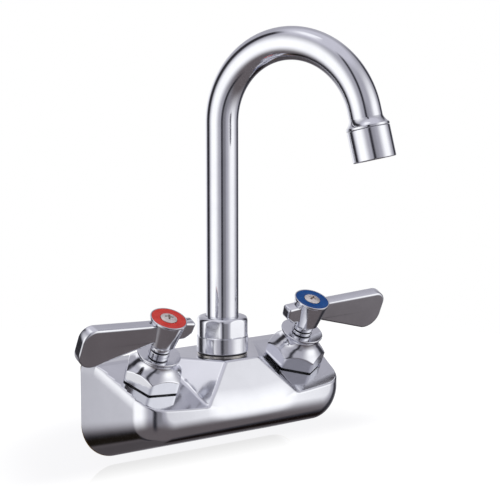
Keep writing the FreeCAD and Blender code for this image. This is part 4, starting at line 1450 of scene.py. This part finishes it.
@dataclass
class Studio:
    """A plain white studio. The camera sees its white, and the metal also sees the soft boxes, the flags
    and the dark bench that a photographer sets round bright work to draw its edges, and a painted shadow
    under the body."""

    floor_height: float = -28.4
    floor_radius: float = 420.0
    # The floor's shadow and its reflection at their strongest, and the metres over which each fades
    shadow: float = 0.022
    reflection: float = 0.28
    near_fade: tuple[float, float] = (0.1, 0.18)
    reflection_fade: tuple[float, float] = (-0.052, -0.004)
    lit_point: tuple[float, float, float] = (0.0, -0.03, 0.08)
    soft_lamps: tuple[Lamp, ...] = (
        Lamp("key", (-0.9, -1.1, 1.3), 1.2, 9.0),
        Lamp("fill", (1.2, -0.7, 0.8), 1.4, 4.5))
    camera_place: tuple[float, float, float] = (-0.60444, -0.86091, 0.24613)
    azimuth: float = -36.866
    elevation: float = 8.48
    lens: float = 130.16
    mirror_gain: float = 1.25
    walls: str = "#A3A2AA"
    panels: tuple[Panel, ...] = (
        Panel("bench", "#5C5658", head=(-50, -10)),
        Panel("dark end of the bench", "#474345", 181, 46, 34, head=(-40, 8)),
        Panel("white paper behind", "#E8E8EC", -155, 18, 20, (-26, -10), (4, 22)),
        Panel("ceiling", "#C2C1CA", foot=(44, 64)),
        Panel("top light", "#F6F6F9", -90, 40, 50, (60, 74)),
        Panel("left soft box", "#FFFFFF", -59, 26, 34, (-53, -11), (10, 58)),
        Panel("right soft box", "#FFFFFF", 77, 24, 36, (-50, 5), (10, 60)),
        Panel("stand under the camera", "#78777D", 15, 13, 16, (-46, -28), (2, 22)),
        Panel("gap for the camera", "#26262C", 0.5, 7, 11, (-66, -40), (50, 64)),
        Panel("left flag", "#2A292D", -112, 15, 14, (-100, -99), (50, 62)),
        Panel("foot of the left flag", "#17130F", -114, 15, 14, (-64, -56), (-50, -40)),
        Panel("right flag", "#303036", 139, 14, 15, (-66, -58), (24, 46)),
        # A painted shadow: this near-black patch stands for the shade under the body's right end, which
        # metal mirrors.
        Panel("painted shadow under the body", "#140E0D", 150, 13, 14, (-68, -56), (-42, -28)))

    def world(self) -> None:
        """Builds the world: white to the camera, a plain soft light to matt surfaces, and to metal the
        panels, laid one over another in their order. A panel's share of a direction is the product of three
        eased steps, in the angle from its middle and in the height over its foot and under its head."""
        world = bpy.data.worlds.new("studio")
        bpy.context.scene.world = world
        tree = empty_tree(world)
        way = add_node(tree, "ShaderNodeTexCoord").outputs["Generated"]
        axes = add_node(tree, "ShaderNodeSeparateXYZ", {"Vector": way})
        height = maths(tree, "ARCSINE", axes.outputs["Z"])
        level = vectors(tree, "NORMALIZE", vectors(tree, "MULTIPLY", way, (1, 1, 0)))

        def step(value: Socket, none: float, all_of_it: float) -> Socket:
            """An eased step from 0 to 1 between two angles in degrees."""
            span = math.radians(none), math.radians(all_of_it)
            return ranged(tree, value, span, interpolation="SMOOTHSTEP")

        tone = add_node(tree, "ShaderNodeRGB").outputs[0]
        tone.default_value = linear(self.walls)
        for panel in self.panels:
            a = math.radians(self.azimuth + panel.middle)
            towards = vectors(tree, "DOT_PRODUCT", level, (math.sin(a), -math.cos(a), 0), output="Value")
            aside = maths(tree, "ARCCOSINE", towards)
            share = step(aside, panel.half + panel.soft / 2, panel.half - panel.soft / 2)
            for edge in (step(height, *panel.foot), step(height, *panel.head[::-1])):
                share = maths(tree, "MULTIPLY", share, edge)
            tone = mixed(tree, share, tone, linear(panel.tone))
            log.info("studio: %s", panel.name)
        ray = add_node(tree, "ShaderNodeLightPath").outputs
        through = maths(tree, "MAXIMUM", ray["Is Camera Ray"], ray["Is Transmission Ray"])
        plain = mixed(tree, through, linear("#DCDCE0"), (1, 1, 1, 1))
        seen = mixed(tree, ray["Is Glossy Ray"], plain, tone)
        strength = maths(tree, "MULTIPLY_ADD", ray["Is Glossy Ray"], self.mirror_gain - 1.0, 1.0)
        light = add_node(tree, "ShaderNodeBackground", {"Color": seen, "Strength": strength})
        add_node(tree, "ShaderNodeOutputWorld", {"Surface": light.outputs[0]})

    def floor(self) -> None:
        """The floor: a white round sheet. Near the faucet it keeps a faint shadow, and under it a
        reflection that fades forwards, and further off it is the plain white of the backdrop. To metal it
        is open, so the metal sees the bench. Each of the two is its full strength times an eased step in
        the distance from the faucet, and the reflection also times one in the distance from the wall."""
        t = angles(96)
        rings = np.array([0.0, 0.3, 0.6, 1.0]) * self.floor_radius
        points = np.stack([rings[:, None] * np.cos(t), -30 + rings[:, None] * np.sin(t),
                           np.full((len(rings), len(t)), self.floor_height)], axis=-1) * MM
        sheet = grid(points)
        mesh = bpy.data.meshes.new("floor")
        mesh.from_pydata(sheet.points.tolist(), [], sheet.faces.tolist())
        material = bpy.data.materials.new("white_sheet")
        tree = empty_tree(material)
        ray = add_node(tree, "ShaderNodeLightPath")
        place = add_node(tree, "ShaderNodeTexCoord").outputs["Object"]
        away = vectors(tree, "DISTANCE", place, (0, -0.03, self.floor_height * MM), output="Value")
        near = ranged(tree, away, self.near_fade, 1.0, 0.0, "SMOOTHSTEP")
        depth = add_node(tree, "ShaderNodeSeparateXYZ", {"Vector": place}).outputs["Y"]
        under = ranged(tree, depth, self.reflection_fade, 0.0, self.reflection, "SMOOTHSTEP")
        kept = maths(tree, "MULTIPLY", near, self.shadow)
        bright = maths(tree, "MULTIPLY", near, under)
        matt = add_node(tree, "ShaderNodeBsdfDiffuse", {"Color": linear("#F8F8F9")})
        shine = add_node(tree, "ShaderNodeBsdfGlossy", {"Color": linear("#FFFFFF"), "Roughness": 0.05})
        glow = add_node(tree, "ShaderNodeEmission", {"Color": (1, 1, 1, 1), "Strength": 1.1})
        gap = add_node(tree, "ShaderNodeBsdfTransparent", {"Color": (1, 1, 1, 1)})
        shaded = add_node(tree, "ShaderNodeMixShader", {"Fac": kept, 1: glow.outputs[0], 2: matt.outputs[0]})
        polished = add_node(tree, "ShaderNodeMixShader", {
            "Fac": bright, 1: shaded.outputs[0], 2: shine.outputs[0]})
        shown = add_node(tree, "ShaderNodeMixShader", {
            "Fac": ray.outputs["Is Glossy Ray"], 1: polished.outputs[0], 2: gap.outputs[0]})
        add_node(tree, "ShaderNodeOutputMaterial", {"Surface": shown.outputs[0]})
        mesh.materials.append(material)
        floor = add_object("floor", mesh)
        log.info("floor at %.1f mm", self.floor_height)

    def lamps(self) -> None:
        """Broad soft lamps, one high at the left and one at the right, that metal doesn't mirror."""
        for lamp in self.soft_lamps:
            data = bpy.data.lights.new(lamp.name, "AREA")
            data.size = lamp.size
            data.energy = lamp.power
            lit = add_object(lamp.name, data)
            lit.location = lamp.place
            towards = Vector(self.lit_point) - Vector(lamp.place)
            lit.rotation_euler = towards.to_track_quat("-Z", "Y").to_euler()
            lit.visible_glossy = False

    def camera(self) -> None:
        """The camera, where the photograph was taken from."""
        a, e = math.radians(self.azimuth), math.radians(self.elevation)
        back = Vector((math.sin(a) * math.cos(e), -math.cos(a) * math.cos(e), math.sin(e)))
        data = bpy.data.cameras.new("camera")
        data.lens = self.lens
        data.sensor_width = 36.0
        data.clip_start, data.clip_end = 0.01, 20.0
        camera = add_object("camera", data)
        camera.location = self.camera_place
        camera.rotation_euler = (-back).to_track_quat("-Z", "Y").to_euler()
        bpy.context.scene.camera = camera

    def build(self) -> None:
        """Sets the whole stage."""
        bpy.context.scene.view_settings.view_transform = "Standard"
        self.world()
        self.floor()
        self.lamps()
        self.camera()


def main() -> None:
    """Builds the faucet and its stage."""
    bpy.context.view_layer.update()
    Studio().build()
    dress_nodes()
    BodyCasting().build()
    Spout().build()
    for side, turn, height, ring in ((Side.HOT, -6.2, 18.4, RED), (Side.COLD, 30.0, 19.6, BLUE)):
        Valve(side, turn, height, ring).build()
        Inlet(side).build()
    log.info("faucet done")


if __name__ == "__main__":
    main()
